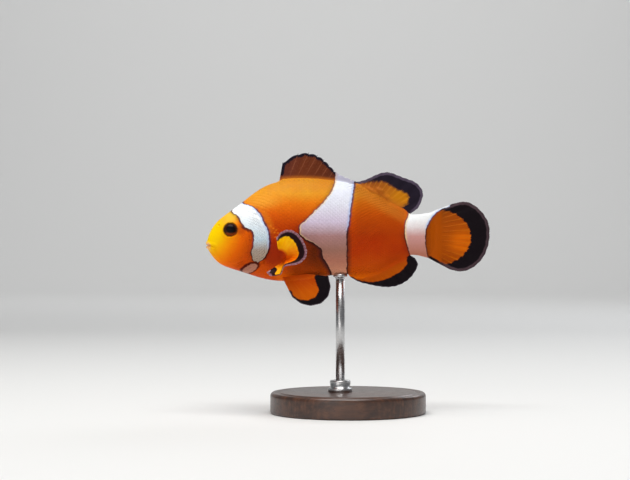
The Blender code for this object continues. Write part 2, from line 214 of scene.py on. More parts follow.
def full_turn(count):
    """Angles at even steps round a circle."""
    return np.arange(count) * 2 * math.pi / count


def set_values(obj, name, values):
    """Stores one number or one vector for each vertex."""
    values = np.asarray(values, np.float32)
    kind, field = ("FLOAT", "value") if values.ndim == 1 else ("FLOAT_VECTOR", "vector")
    obj.data.attributes.new(name, kind, "POINT").data.foreach_set(field, values.ravel())


def grow(obj, tree, **inputs):
    """Runs a Geometry Nodes tree on an object, and keeps what it makes as the object's own plain mesh."""
    modifier = obj.modifiers.new(tree.name, "NODES")
    modifier.node_group = tree
    for item in tree.interface.items_tree:
        if item.item_type == "SOCKET" and item.in_out == "INPUT" and item.name in inputs:
            modifier[item.identifier] = inputs[item.name]
    graph = bpy.context.evaluated_depsgraph_get()
    grown = bpy.data.meshes.new_from_object(obj.evaluated_get(graph), preserve_all_data_layers=True,
                                            depsgraph=graph)
    obj.modifiers.clear()
    obj.data = grown


def joined_pieces(pieces):
    """The first of the pieces, with the meshes of the others joined to it."""
    bpy.ops.object.select_all(action="DESELECT")
    for piece in pieces:
        piece.select_set(True)
    bpy.context.view_layer.objects.active = pieces[0]
    bpy.ops.object.join()
    return pieces[0]


def finished(obj, slot, *nodes):
    """Attaches a finished piece to what it moves with, and hides the solids that it stands for. slot is not
    used.
    """
    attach(obj, BODY)
    if nodes:
        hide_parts(*nodes)


# ---- camera, floor and light --------------------------------------------------------------------------------
SENSOR_WIDTH = 36
LENS = 101
CAMERA_AIM = (-9.4, 0, -1.1)
CAMERA_DISTANCE = 0.5


def make_camera():
    """Looks square at the left flank, as wide as a little over twice the fish."""
    camera = bpy.data.cameras.new("camera")
    camera.sensor_width = SENSOR_WIDTH
    camera.lens = LENS
    obj = placed("camera", camera)
    obj.location = in_place(CAMERA_AIM) - np.array((0, CAMERA_DISTANCE, 0))
    obj.rotation_euler = (math.radians(90), 0, 0)
    bpy.context.scene.camera = obj


def make_floor(material):
    """A pale floor that curves up into a wall behind the model, so that no horizon shows."""
    reach, bend, height, steps = 1.6, 0.5, 1.8, 16
    profile = [(-reach, 0.0), (reach - bend, 0.0)]
    for i in range(1, steps + 1):
        angle = math.pi / 2 * i / steps
        profile.append((reach - bend + bend * math.sin(angle), bend - bend * math.cos(angle)))
    profile.append((reach, height))
    mesh = bpy.data.meshes.new("floor")
    count = len(profile)
    faces = [(i, i + count, i + count + 1, i + 1) for i in range(count - 1)]
    mesh.from_pydata([(x, y, z) for x in (-2 * reach, 2 * reach) for y, z in profile], [], faces)
    mesh.shade_smooth()
    mesh.materials.append(material)
    placed("floor", mesh)


def make_softbox(name, place, size, power, colour, target):
    """A rectangular lamp that faces its target."""
    light = bpy.data.lights.new(name, "AREA")
    light.shape = "RECTANGLE"
    light.size, light.size_y = size
    light.energy = power
    light.color = colour
    obj = placed(name, light)
    obj.location = place
    obj.rotation_euler = (Vector(target) - Vector(place)).to_track_quat("-Z", "Y").to_euler()


def make_light():
    """Softboxes over, before and behind the fish, one for the wall, and a pale sky that fills the shadows."""
    middle = tuple(in_place((0, 0, 0)))
    white, warm, wall = (1.0, 1.0, 1.0), (1.0, 0.97, 0.94), (0.0, 1.6, 0.45)
    make_softbox("top_light", (-0.05, -0.12, 0.62), (0.5, 0.4), 4.1, (1.0, 0.99, 0.97), middle)
    make_softbox("front_light", (-0.45, -0.75, 0.28), (0.5, 0.5), 0.9, warm, middle)
    make_softbox("low_light", (-0.1, -0.6, 0.06), (0.6, 0.1), 0.28, warm, middle)
    make_softbox("back_light", (0.4, 0.55, 0.45), (0.4, 0.3), 1.2, (0.93, 0.96, 1.0), middle)
    make_softbox("wall_light", (0.0, 0.7, 0.75), (1.2, 0.4), 5.0, white, wall)
    world = bpy.data.worlds.new("studio")
    world.use_nodes = True
    sky = world.node_tree.nodes["Background"]
    sky.inputs["Color"].default_value = (0.86, 0.88, 0.92, 1)
    sky.inputs["Strength"].default_value = 0.22
    bpy.context.scene.world = world


# ---- node helpers -------------------------------------------------------------------------------------------
def paint(red, green, blue):
    """A colour given as screen values from 0 to 255, as the shader wants it."""
    def linear(value):
        value /= 255
        return value / 12.92 if value <= 0.04045 else ((value + 0.055) / 1.055) ** 2.4

    return (linear(red), linear(green), linear(blue), 1.0)


class Value:
    """What a node gives. Arithmetic with it adds Math nodes to the same tree."""

    def __init__(self, socket):
        self.socket = socket

    def __add__(self, other):
        return maths("ADD", self, other)

    def __sub__(self, other):
        return maths("SUBTRACT", self, other)

    def __mul__(self, other):
        return maths("MULTIPLY", self, other)


def put(socket, value):
    """Sets a node's input to a plain value, or links it to what another node gives. Colours are screen values
    from 0 to 255."""
    if isinstance(value, Value):
        socket.id_data.links.new(value.socket, socket)
    elif socket.type == "RGBA":
        socket.default_value = paint(*value)
    else:
        socket.default_value = value


def connect(node, **values):
    """Puts values into a node's inputs, which go by their names with _ for each space."""
    for label, value in values.items():
        put(node.inputs[label.replace("_", " ")], value)


def outputs_of(node):
    """What a node gives, by name."""
    return {socket.name: Value(socket) for socket in node.outputs}


def add(kind, inputs, output=0, tree=None, **settings):
    """One output of a new node with these settings and inputs, in the tree that its inputs come from."""
    if tree is None:
        tree = next(value.socket.id_data for value in inputs.values() if isinstance(value, Value))
    node = tree.nodes.new(kind)
    for name, value in settings.items():
        setattr(node, name, value)
    for name, value in inputs.items():
        put(node.inputs[name], value)
    return Value(node.outputs[output])


def maths(operation, *values):
    """The result of a Math node."""
    return add("ShaderNodeMath", dict(enumerate(values)), operation=operation)


def ramp(value, low, high, start=0.0, end=1.0, smooth=True):
    """start below low, end above high, and smooth or straight between."""
    inputs = {"Value": value, "From Min": low, "From Max": high, "To Min": start, "To Max": end}
    return add("ShaderNodeMapRange", inputs, "Result", interpolation_type="SMOOTHSTEP" if smooth else "LINEAR")


def blended(share, under, over):
    """The colour under, covered by the colour over where share is 1."""
    return add("ShaderNodeMix", {0: share, 6: under, 7: over}, 2, data_type="RGBA")


def colour_ramp(value, stops):
    """A colour for each value from 0 to 1."""
    colour = add("ShaderNodeValToRGB", {"Fac": value}, "Color")
    elements = colour.socket.node.color_ramp.elements
    while len(elements) < len(stops):
        elements.new(0.5)
    for element, (position, tint) in zip(elements, stops):
        element.position = position
        element.color = paint(*tint)
    return colour


def noise(place, scale, detail=2.0, roughness=0.5, output="Fac"):
    """A soft random pattern."""
    inputs = {"Vector": place, "Scale": scale, "Detail": detail, "Roughness": roughness}
    return add("ShaderNodeTexNoise", inputs, output)


def bump(height, strength, distance=0.00005):
    """The surface's normal, tilted by a pattern of heights. The distance is in metres."""
    return add("ShaderNodeBump", {"Height": height, "Strength": strength, "Distance": distance})


def vector(operation, first, second):
    """The result of a Vector Math node."""
    inputs = {0: first, "Scale" if operation == "SCALE" else 1: second}
    return add("ShaderNodeVectorMath", inputs, operation=operation)


def stretched(place, scale):
    """A place with each of its axes drawn out or squeezed."""
    return add("ShaderNodeMapping", {"Vector": place, "Scale": scale})


def place_of(tree, middle=(0, 0, 0)):
    """The place on the surface, in millimetres from the middle."""
    place = add("ShaderNodeTexCoord", {}, "Object", tree)
    return vector("SCALE", vector("SUBTRACT", place, tuple(middle)), 1 / MM)


def side_view(place):
    """The x and the z of a place."""
    split = outputs_of(add("ShaderNodeSeparateXYZ", {0: place}).socket.node)
    return split["X"], split["Z"]


def stored(tree, label):
    """A stored number of the surface, in a material."""
    return add("ShaderNodeAttribute", {}, "Fac", tree, attribute_name=label)


def named(tree, label, kind="FLOAT"):
    """A stored attribute in a Geometry Nodes tree."""
    return add("GeometryNodeInputNamedAttribute", {"Name": label}, 0, tree, data_type=kind)


def store(geometry, label, value, kind="FLOAT", domain="POINT"):
    """Geometry with one more stored attribute."""
    return add("GeometryNodeStoreNamedAttribute", {"Geometry": geometry, "Name": label, "Value": value},
               data_type=kind, domain=domain)


def finish_tree(geometry, material, result):
    """Ends a Geometry Nodes tree: plain geometry with its material."""
    real = add("GeometryNodeRealizeInstances", {"Geometry": geometry})
    put(result[0], add("GeometryNodeSetMaterial", {"Geometry": real, "Material": material}))


def new_group(name, kind, inputs, outputs):
    """A node group with named sockets, what its inputs give, and the inputs of its output node."""
    tree = bpy.data.node_groups.new(name, kind)
    for label, socket, value in inputs:
        made = tree.interface.new_socket(label, in_out="INPUT", socket_type="NodeSocket" + socket)
        if value is not None:
            made.default_value = value
    for label, socket in outputs:
        tree.interface.new_socket(label, in_out="OUTPUT", socket_type="NodeSocket" + socket)
    return tree, outputs_of(tree.nodes.new("NodeGroupInput")), tree.nodes.new("NodeGroupOutput").inputs


def new_material(name, roughness=0.5, **values):
    """A Principled material whose plain numbers are set on the shader's own sockets."""
    material = bpy.data.materials.new(name)
    material.use_nodes = True
    shader = material.node_tree.nodes["Principled BSDF"]
    connect(shader, Roughness=roughness, **values)
    return material, material.node_tree, shader


def use_group(tree, group, **inputs):
    """What a node group gives for these inputs."""
    node = tree.nodes.new("ShaderNodeGroup")
    node.node_tree = group
    connect(node, **inputs)
    return outputs_of(node)


# ---- markings -----------------------------------------------------------------------------------------------
# Colours are screen values of red, green and blue from 0 to 255.
BLACK = (20, 13, 18)
TAIL_ORANGE = (174, 77, 0)
HEIGHTS = (-14.0, 18.0)     # heights and lengths that the curves of the edges span
LENGTHS = (-40.0, 40.0)
# Orange of the flanks by height, as shares of HEIGHTS: pale on the back, and deepest below the middle.
# This is partly the fish's own colour, and partly painted light on the back and painted shade below the
# middle.
FLANK_TINTS = ((0.06, (240, 112, 4)), (0.12, (208, 82, 0)), (0.19, (202, 73, 0)), (0.31, (186, 53, 0)),
               (0.44, (178, 47, 0)), (0.53, (198, 66, 2)), (0.625, (220, 92, 6)), (0.72, (232, 122, 14)),
               (0.81, (228, 156, 36)), (0.88, (214, 144, 38)))
# Colour of the head by how far it is from the middle of a tilted oval at the snout.
SNOUT_OVAL = ((-39.0, 0.5), (8.5, 11.0), -30)
HEAD_TINTS = ((0.0, (255, 216, 0)), (0.20, (255, 202, 0)), (0.34, (255, 168, 0)), (0.47, (252, 140, 0)),
              (0.62, (240, 106, 0)), (0.84, (206, 76, 0)))
# Soft patches: (x, z) of the centre, size, tilt, where the patch starts and where it is full as shares of its
# size, strength and colour.
FLANK_PATCHES = (((9.8, 9.2), (9.0, 2.0), -32, 1.6, 0.3, 0.6, (206, 122, 36)),)    # under the rear dorsal fin
HEAD_PATCHES = (((-32.6, 6.4), (4.2, 2.6), 45, 1.3, 0.3, 0.75, (236, 204, 68)),    # brow
                ((-30.4, 1.7), (1.7, 1.5), -35, 1.4, 0.3, 0.6, (160, 48, 8)),      # cheek
                ((-28.9, 2.1), (1.3, 0.45), -30, 1.6, 0.6, 0.85, (84, 32, 24)))    # its crease
NAPE_PATCHES = (((-23.4, 5.0), (5.0, 1.7), 116, 1.3, 0.4, 0.6, (226, 122, 22)),)
SHADE_PATCHES = (((-21.2, -5.0), (3.6, 4.6), 0, 1.1, 0.5, 0.8, (154, 40, 3)),      # root of the pectoral fin
                 ((-11.4, -9.6), (6.0, 3.0), 0, 1.4, 0.5, 0.75, (134, 48, 0)),     # belly
                 ((-11.0, -4.0), (2.6, 4.0), 0, 1.4, 0.5, 0.7, (98, 40, 6)),       # behind the pectoral fin
                 ((-7.8, -5.6), (3.2, 4.4), 30, 1.3, 0.4, 0.65, (76, 30, 2)))
# Painted glints: small bright spots where scales on the shoulder behind the head bar catch the light.
PAINTED_GLINTS = ((-21.7, 2.9), (-21.0, 2.2), (-20.2, 1.7), (-20.7, 1.0), (-19.8, 0.8), (-20.4, -0.3))
FACE_PATCHES = (((-39.8, -2.9), (1.3, 1.5), 0, 1.0, 0.45, 0.8, (250, 186, 140)),   # lips
                (EYE_SPOT, (1.0, 0.92), 0, 2.4, 1.95, 0.8, (60, 24, 12)),          # ring round the eye
                ((-27.8, -9.05), (2.5, 1.13), 27, 1.5, 1.15, 1, (84, 18, 2)),      # edge of the throat patch
                ((-27.7, -9.2), (2.5, 1.1), 27, 1.05, 0.85, 1, (182, 122, 100)))   # throat


@dataclass
class Bar:
    """A white bar: its edges as (height, x) points, the widths of its dark borders and how much the skin next
    to them is shaded, each above and below the middle, how creamy its front edge is, the heights over which
    its rear edge turns blue with painted light, and its colour by height: white on top, with painted shade
    and bounce light lower down."""
    front: tuple
    rear: tuple
    front_border: tuple
    rear_border: tuple
    front_shade: tuple
    rear_shade: tuple
    cream: float
    blue_from: tuple
    tints_with_painted_shade: tuple


# Each bar's colours by height hold painted shade, bounce light and bluish light on its lower part.
BARS = (
    Bar(front=((-9.5, -23.6), (-7.3, -25.5), (-6.9, -26.7), (-6.0, -27.0), (-4.6, -27.15), (-2.4, -26.6),
               (0, -26.5), (1.7, -27.15), (2.3, -28.5), (3.7, -29.9), (5.5, -30.9), (7.1, -32.8)),
        rear=((-9.5, -27.0), (-7.3, -25.4), (-6.7, -24.3), (-4.6, -22.8), (-1.8, -22.25), (1.1, -22.45),
              (4.0, -23.8), (6.6, -25.2), (8.3, -27.2), (9.6, -30.0)),
        front_border=(0.95, 0.34), rear_border=(0.8, 0.7), front_shade=(0.35, 0.3), rear_shade=(0.0, 0.1),
        cream=0.2, blue_from=(-4.5, -2.0),
        tints_with_painted_shade=((-6.5, (174, 154, 136)), (-4, (178, 163, 150)), (-1, (208, 230, 244)), (2, (230, 244, 254)),
               (6, (248, 252, 255)))),
    Bar(front=((-11.2, -4.6), (-9.8, -4.9), (-9.0, -5.3), (-7.4, -6.2), (-5.7, -7.25), (-4.0, -7.35),
               (-2.6, -8.8), (-1.1, -11.5), (0.9, -13.7), (2.4, -13.7), (4.6, -11.8), (7.5, -9.0), (9.8, -6.8),
               (13.3, -4.4), (16.4, -3.6)),
        rear=((-11.0, -0.5), (-4.6, -0.5), (0, -0.6), (4.0, 0.12), (8.0, 0.6), (12.7, 1.35), (16.5, 1.8)),
        front_border=(0.14, 1.9), rear_border=(0.8, 0.5), front_shade=(0.3, 0.3), rear_shade=(0.1, 0.75),
        cream=0.7, blue_from=(0.5, 3.5),
        tints_with_painted_shade=((-10, (214, 146, 116)), (-7, (188, 122, 100)), (-4, (168, 118, 102)), (0, (181, 136, 134)),
               (4, (224, 208, 230)), (9, (234, 234, 246)), (14, (234, 238, 250)))),
    Bar(front=((-6.0, 17.7), (-5.0, 17.4), (-1.8, 16.4), (1.1, 15.95), (4.0, 16.2), (6.4, 17.1)),
        rear=((-6.4, 22.5), (-2.4, 21.75), (1.1, 21.75), (4.0, 22.9), (5.7, 24.0), (7.5, 26.2), (8.7, 28.9)),
        front_border=(0.2, 0.3), rear_border=(0.6, 0.25), front_shade=(0.0, 0.35), rear_shade=(0.2, 0.3),
        cream=0.8, blue_from=(1.5, 3.5),
        tints_with_painted_shade=((-5, (194, 124, 102)), (0, (216, 160, 154)), (2.5, (240, 228, 228)), (5, (252, 254, 255)))),
)


def share_of(value, span):
    """Where a value lies in a span, from 0 to 1."""
    return (value - span[0]) / (span[1] - span[0])


def edge_of(height, points):
    """The x of a bar's edge at a height, read off a curve through the points."""
    found = add("ShaderNodeFloatCurve", {"Value": ramp(height, *HEIGHTS, smooth=False)})
    mapping = found.socket.node.mapping
    curve = mapping.curves[0]
    spots = [(share_of(z, HEIGHTS), share_of(x, LENGTHS)) for z, x in points]
    curve.points[0].location = (0.0, spots[0][1])
    curve.points[1].location = (1.0, spots[-1][1])
    for spot in spots:
        curve.points.new(*spot).handle_type = "AUTO_CLAMPED"
    mapping.update()
    return ramp(found, 0, 1, *LENGTHS, smooth=False)


def painted_bar(x, z, bar, colour):
    """The colour with a white bar and its dark borders painted over it, and the mask of the white."""
    front, rear = x - edge_of(z, bar.front), edge_of(z, bar.rear) - x
    white = ramp(front, -0.07, 0.1) * ramp(rear, -0.07, 0.1)
    high = ramp(z, *bar.blue_from)
    dark = (38, 16, 24)
    for inside, other, (above, below), (shade_above, shade_below), tint in (
            (front, rear, bar.front_border, bar.front_shade, dark),
            (rear, front, bar.rear_border, bar.rear_shade, blended(high, dark, (84, 62, 100)))):
        within = ramp(other, -0.6, 0.2)
        shade = ramp(z, 0.0, 3.0, shade_below, shade_above) * ramp(inside, -1.9, 0.0)
        colour = blended(shade * within, colour, (80, 38, 22))
        near = ramp(inside, ramp(z, -1.5, 1.5, -below, -above), 0.0, 0, 0.92)
        colour = blended(near * within, colour, tint)
    # The white by height, painted darker and warmer lower down as painted shade and bounce light.
    height = ramp(z, *HEIGHTS, smooth=False)
    pale = colour_ramp(height, [(share_of(spot, HEIGHTS), tint) for spot, tint in bar.tints_with_painted_shade])
    pale = blended(ramp(front, 0.75, 0.0, 0, bar.cream) * ramp(z, -3.5, 0.5), pale, (248, 214, 150))
    # Painted bluish light along the rear edge, above blue_from.
    pale = blended(ramp(rear, 0.9, 0.1, 0, 0.6) * high, pale, (176, 196, 244))
    return blended(white, colour, pale), white


def oval(x, z, centre, size, tilt=0.0):
    """1 on the rim of an oval, less inside it. It is given in the side view."""
    turn, lean = math.cos(math.radians(tilt)), math.sin(math.radians(tilt))
    across, up = x - centre[0], z - centre[1]
    along = across * (turn / size[0]) + up * (lean / size[0])
    square = up * (turn / size[1]) - across * (lean / size[1])
    return maths("SQRT", along * along + square * square)


def patched(x, z, colour, patches):
    """The colour with soft oval patches laid over it."""
    for centre, size, tilt, start, full, strength, tint in patches:
        share = ramp(oval(x, z, centre, size, tilt), start, full, 0, strength)
        colour = blended(share, colour, tint)
    return colour


def build_markings():
    """The colours of the body: yellow snout, orange flanks, three white bars with dark borders, and painted
    shade and glints.
    """
    tree, given, result = new_group("clownfish markings", "ShaderNodeTree", [("Raggedness", "Float", 0.6)],
                                    [("Color", "Color"), ("Plain", "Color"), ("White", "Float"),
                                     ("Place", "Vector")])
    place = place_of(tree, AXIS)
    wobble = vector("SUBTRACT", noise(place, 0.95, output="Color"), (0.5, 0.5, 0.5))
    x, z = side_view(vector("ADD", place, vector("SCALE", wobble, given["Raggedness"])))

    flank = colour_ramp(ramp(z, *HEIGHTS, smooth=False), FLANK_TINTS)
    # Painted shade: the upper flank behind the middle bar is darker.
    flank = blended(ramp(x, 0.5, 3.0) * ramp(z, -2.0, 3.0, 0, 0.46), flank, (150, 52, 2))
    flank = blended(ramp(noise(place, 0.11, 3.0), 0.35, 0.7) * 0.2, flank, (214, 92, 8))
    flank = patched(x, z, flank, FLANK_PATCHES)
    head = patched(x, z, colour_ramp(oval(x, z, *SNOUT_OVAL) * 0.6, HEAD_TINTS), HEAD_PATCHES)
    behind_head = ramp(z * 0.45 + x, -26.5, -24.5)
    colour = patched(x, z, blended(behind_head, head, flank), NAPE_PATCHES)
    crown = ramp(oval(x, z, (-24.4, 9.7), (5.6, 2.0)), 1.4, 0.2, 0, 0.6)
    colour = blended(crown * behind_head, colour, (234, 164, 50))
    # Painted glints on the shoulder, as small bright ovals.
    glints = [(spot, (0.36, 0.28), 20, 1.5, 0.3, 0.5, (246, 140, 30)) for spot in PAINTED_GLINTS]
    colour = patched(x, z, colour, SHADE_PATCHES + tuple(glints))
    colour = blended(ramp(x, 20.5, 21.0), colour, TAIL_ORANGE)
    colour = patched(x, z, colour, FACE_PATCHES)

    put(result["Plain"], colour)
    whites = []
    for bar in BARS:
        colour, white = painted_bar(x, z, bar, colour)
        whites.append(white)
    put(result["Color"], colour)
    put(result["White"], maths("MAXIMUM", maths("MAXIMUM", *whites[:2]), whites[2]))
    put(result["Place"], place)
    return tree


# ---- skin ---------------------------------------------------------------------------------------------------
def section(distance):
    """The height at which the body is widest, and how far it reaches above and below that."""
    top, bottom = back(distance), belly(distance)
    widest = bottom + WIDEST_AT * (top - bottom)
    return widest, top - widest, widest - bottom


def body_point(distance, turn, grow=0.0):
    """Points of the body's surface, for a distance behind the snout and a turn round the section, which starts
    at its right side."""
    widest, above, below = section(distance)
    across, up = np.cos(turn), np.sin(turn)
    keel = np.where(up > 0, BACK_KEEL, BELLY_KEEL)
    reach = np.where(up > 0, above, below)
    y = half_width(distance) * np.sign(across) * np.abs(across) ** keel
    return np.stack((SNOUT_X + distance + 0 * turn, y + grow * across, widest + (reach + grow) * up), axis=-1)


def side_of_body(x, z):
    """How far the body reaches from the midplane at a place on its side."""
    distance = x - SNOUT_X
    widest, above, below = section(distance)
    rise = z - widest
    up = np.clip(np.abs(rise) / np.where(rise > 0, above, below), 0, 1)
    return half_width(distance) * np.sqrt(1 - up * up) ** np.where(rise > 0, BACK_KEEL, BELLY_KEEL)


def beside(points, line, count=140):
    """Distance of points from a smooth line on the side of the body, positive behind or under it, and the
    share of the line's length where they are."""
    shares = np.linspace(0, 1, count)
    spots = line_through(line)(shares)
    ways = np.gradient(spots, axis=0)
    ways /= np.linalg.norm(ways, axis=1)[:, None]
    flat = points[:, (0, 2)]
    nearest = ((flat[:, None] - spots[None]) ** 2).sum(axis=2).argmin(axis=1)
    apart = flat - spots[nearest]
    way = ways[nearest]
    return way[:, 0] * apart[:, 1] - way[:, 1] * apart[:, 0], shares[nearest]


def from_spot(points, spot, size=(1.0, 1.0), tilt=0.0):
    """Distance from a spot in the side view, in units of size."""
    turn, lean = math.cos(math.radians(tilt)), math.sin(math.radians(tilt))
    across, up = points[..., 0] - spot[0], points[..., 2] - spot[1]
    return np.hypot((across * turn + up * lean) / size[0], (up * turn - across * lean) / size[1])


def free_edge(distance, share, height, fade):
    """A plate that rises towards its free edge, and drops steeply to a shallow groove behind it. It fades out
    at both ends of the edge."""
    plate = height * eased(-distance, -0.05, 0.28) * np.exp(-np.maximum(-distance, 0) / fade)
    groove = -0.3 * height * hump(distance - 0.25, 0.3)
    return (plate + groove) * eased(share, 0, 0.14) * eased(1 - share, 0, 0.12)


def relief(points):
    """Height of the folds and edges of the skin over the plain body, in millimetres."""
    near_side = np.abs(points[:, 1]) > 0.3
    height = free_edge(*beside(points, GILL_EDGE), *GILL_COVER) * near_side
    height += free_edge(*beside(points, CHEEK_EDGE), *CHEEK_PLATE) * near_side
    mouth, mouth_share = beside(points, MOUTH_LINE)
    open_mouth = eased(1 - mouth_share, 0.0, 0.12)
    depth = MOUTH_DEPTH[0] + MOUTH_DEPTH[1] * eased(-points[:, 0], 38.2, 39.6)
    height -= depth * hump(mouth, 0.17) * open_mouth
    height += LIP_SWELL * hump(np.abs(mouth) - 0.62, 0.42) * open_mouth * eased(-points[:, 0], 36.6, 38.4)
    eye = from_spot(points, EYE_SPOT)
    height += SOCKET_EDGE * hump(eye - 2.25, 0.45)
    height -= SOCKET_DEPTH * eased(1.85 - eye, 0.0, 0.4)
    nostril = from_spot(points, NOSTRIL)
    height += NOSTRIL_RIM * hump(nostril - 0.42, 0.18) - NOSTRIL_DEPTH * hump(nostril, 0.22)
    return height + PECTORAL_SWELL * hump(from_spot(points, PECTORAL_ROOT, (1.7, 3.2)), 0.8)


def fin_bases(points):
    """How far up the skin is drawn towards a fin on the midline, so that no crease shows at its foot."""
    drawn = np.zeros(len(points))
    for start, stop, height in FIN_BASES:
        own_side = eased(points[:, 2] * np.sign(height), 0, 4)
        along = eased(points[:, 0] - start, 0, 2.5) * eased(stop - points[:, 0], 0, 2.5)
        drawn += height * own_side * along * np.exp(-np.abs(points[:, 1]) / BASE_SPREAD)
    return drawn


def sections():
    """Distances behind the snout at which the skin has its sections, closer together towards the head."""
    near = (np.arange(1, SNOUT_SECTIONS) / SNOUT_SECTIONS) ** 2 * ROUND_SNOUT
    share = np.linspace(0, 1, BODY_SECTIONS)
    return np.concatenate((near, ROUND_SNOUT + (BODY_LENGTH - ROUND_SNOUT) * (0.3 * share ** 2 + 0.7 * share)))


def make_skin(material):
    """One closed skin from the lips to the root of the tail fin."""
    distances = sections()
    turns = full_turn(SKIN_SIDES)
    grid = body_point(distances[:, None], turns[None], -SKIN_DEPTH)
    back_way = np.gradient(grid, distances, axis=0)
    round_way = np.roll(grid, -1, axis=1) - np.roll(grid, 1, axis=1)
    normal = np.cross(round_way, back_way)
    normal /= np.linalg.norm(normal, axis=2)[..., None]
    points = grid.reshape(-1, 3)
    points = points + normal.reshape(-1, 3) * relief(points)[:, None]
    points[:, 2] += fin_bases(points)
    count = len(points)
    snout = (SNOUT_X + 0.35, 0, float(back(0)))
    points = np.vstack((points, (snout,)))
    rings = np.arange(count).reshape(len(distances), SKIN_SIDES)
    after = np.roll(rings, -1, axis=1)
    quads = np.stack((rings[:-1], after[:-1], after[1:], rings[1:]), axis=-1).reshape(-1, 4).tolist()
    tip = [(count, int(b), int(a)) for a, b in zip(rings[0], after[0])]
    return make_mesh("fish_skin", points, quads + tip + [rings[-1].tolist()], material)


# ---- fins ---------------------------------------------------------------------------------------------------
COLUMNS_A_RAY = 8
FIN_ROWS = 26
ROW_CROWDING = 1.15         # over 1, the rows crowd together at the root
WEB_THICK = (0.30, 0.12)    # of the membrane at the root and at the margin
WEB_MARGIN = 14             # the larger, the closer to the margin the membrane is rounded off
TIP_REACH = 0.08            # how far the rays pass the membrane
NOTCH_SHIFT = 0.12          # how far behind its spine a notch is cut, over the gap between spines
SPINE_TAPER = 0.8
RAY_TAPER = 0.5
# The lines of a soft ray: which way each turns at the first fork and at the second.
BRANCHES = ((-1, -1), (-1, 0), (-1, 1), (0, 0), (1, -1), (1, 0), (1, 1))
BRANCH_REACH = ((0, 0.42), (0.40, 0.72), (0.70, 1))     # where a line starts and stops, by its number of turns
BRANCH_THICK = (1, 0.84, 0.62)
BRANCH_SPREAD = (0.25, 0.12)  # how far the branches of each fork part, over the gap between rays


@dataclass
class Fin:
    """A fin: its root and margin from front to rear, its rays, and the widths and colours of its markings.

    Root and margin are (x, z) points on the midplane, or (x, distance from the midplane, z) for a paired fin.
    The dark band's widths go by share of the margin, and include the rim. Instead, all that lies outside an
    oval may be dark, and then the band is at least as wide as side_band. margin_sides are the shares of the
    first and last rays that count as margin too. inner is one colour, or stops of colour from the first ray to
    the last, and glow is a brighter oval on it. A fin takes the body's colours up to body_reach over the skin.
    creases are dents in the membrane: centre, size, tilt and depth."""
    name: str
    root: tuple
    tips: tuple
    rays: int
    rim: float
    inner: tuple
    near_root: tuple
    ray: tuple
    web: tuple
    dark: tuple
    pale: tuple
    band: tuple = ()
    oval: tuple = ()
    side_band: float = 0.0
    glow: tuple = ()
    margin_sides: tuple = (0.0, 0.0)
    root_reach: float = 4.0
    rear_reach: float = 0.0
    body_reach: float = 0.5
    keeps_white: bool = False
    soft: float = 0.12
    ragged: float = 1.0
    pale_tips: float = 0.0
    cup: float = 0.0
    scallop: float = 0.12
    pleat: float = 0.12
    creases: tuple = ()
    ray_thick: float = 0.5
    fillet: tuple = (0.38, 0.6)
    spiny: bool = False
    lean: float = 1.0


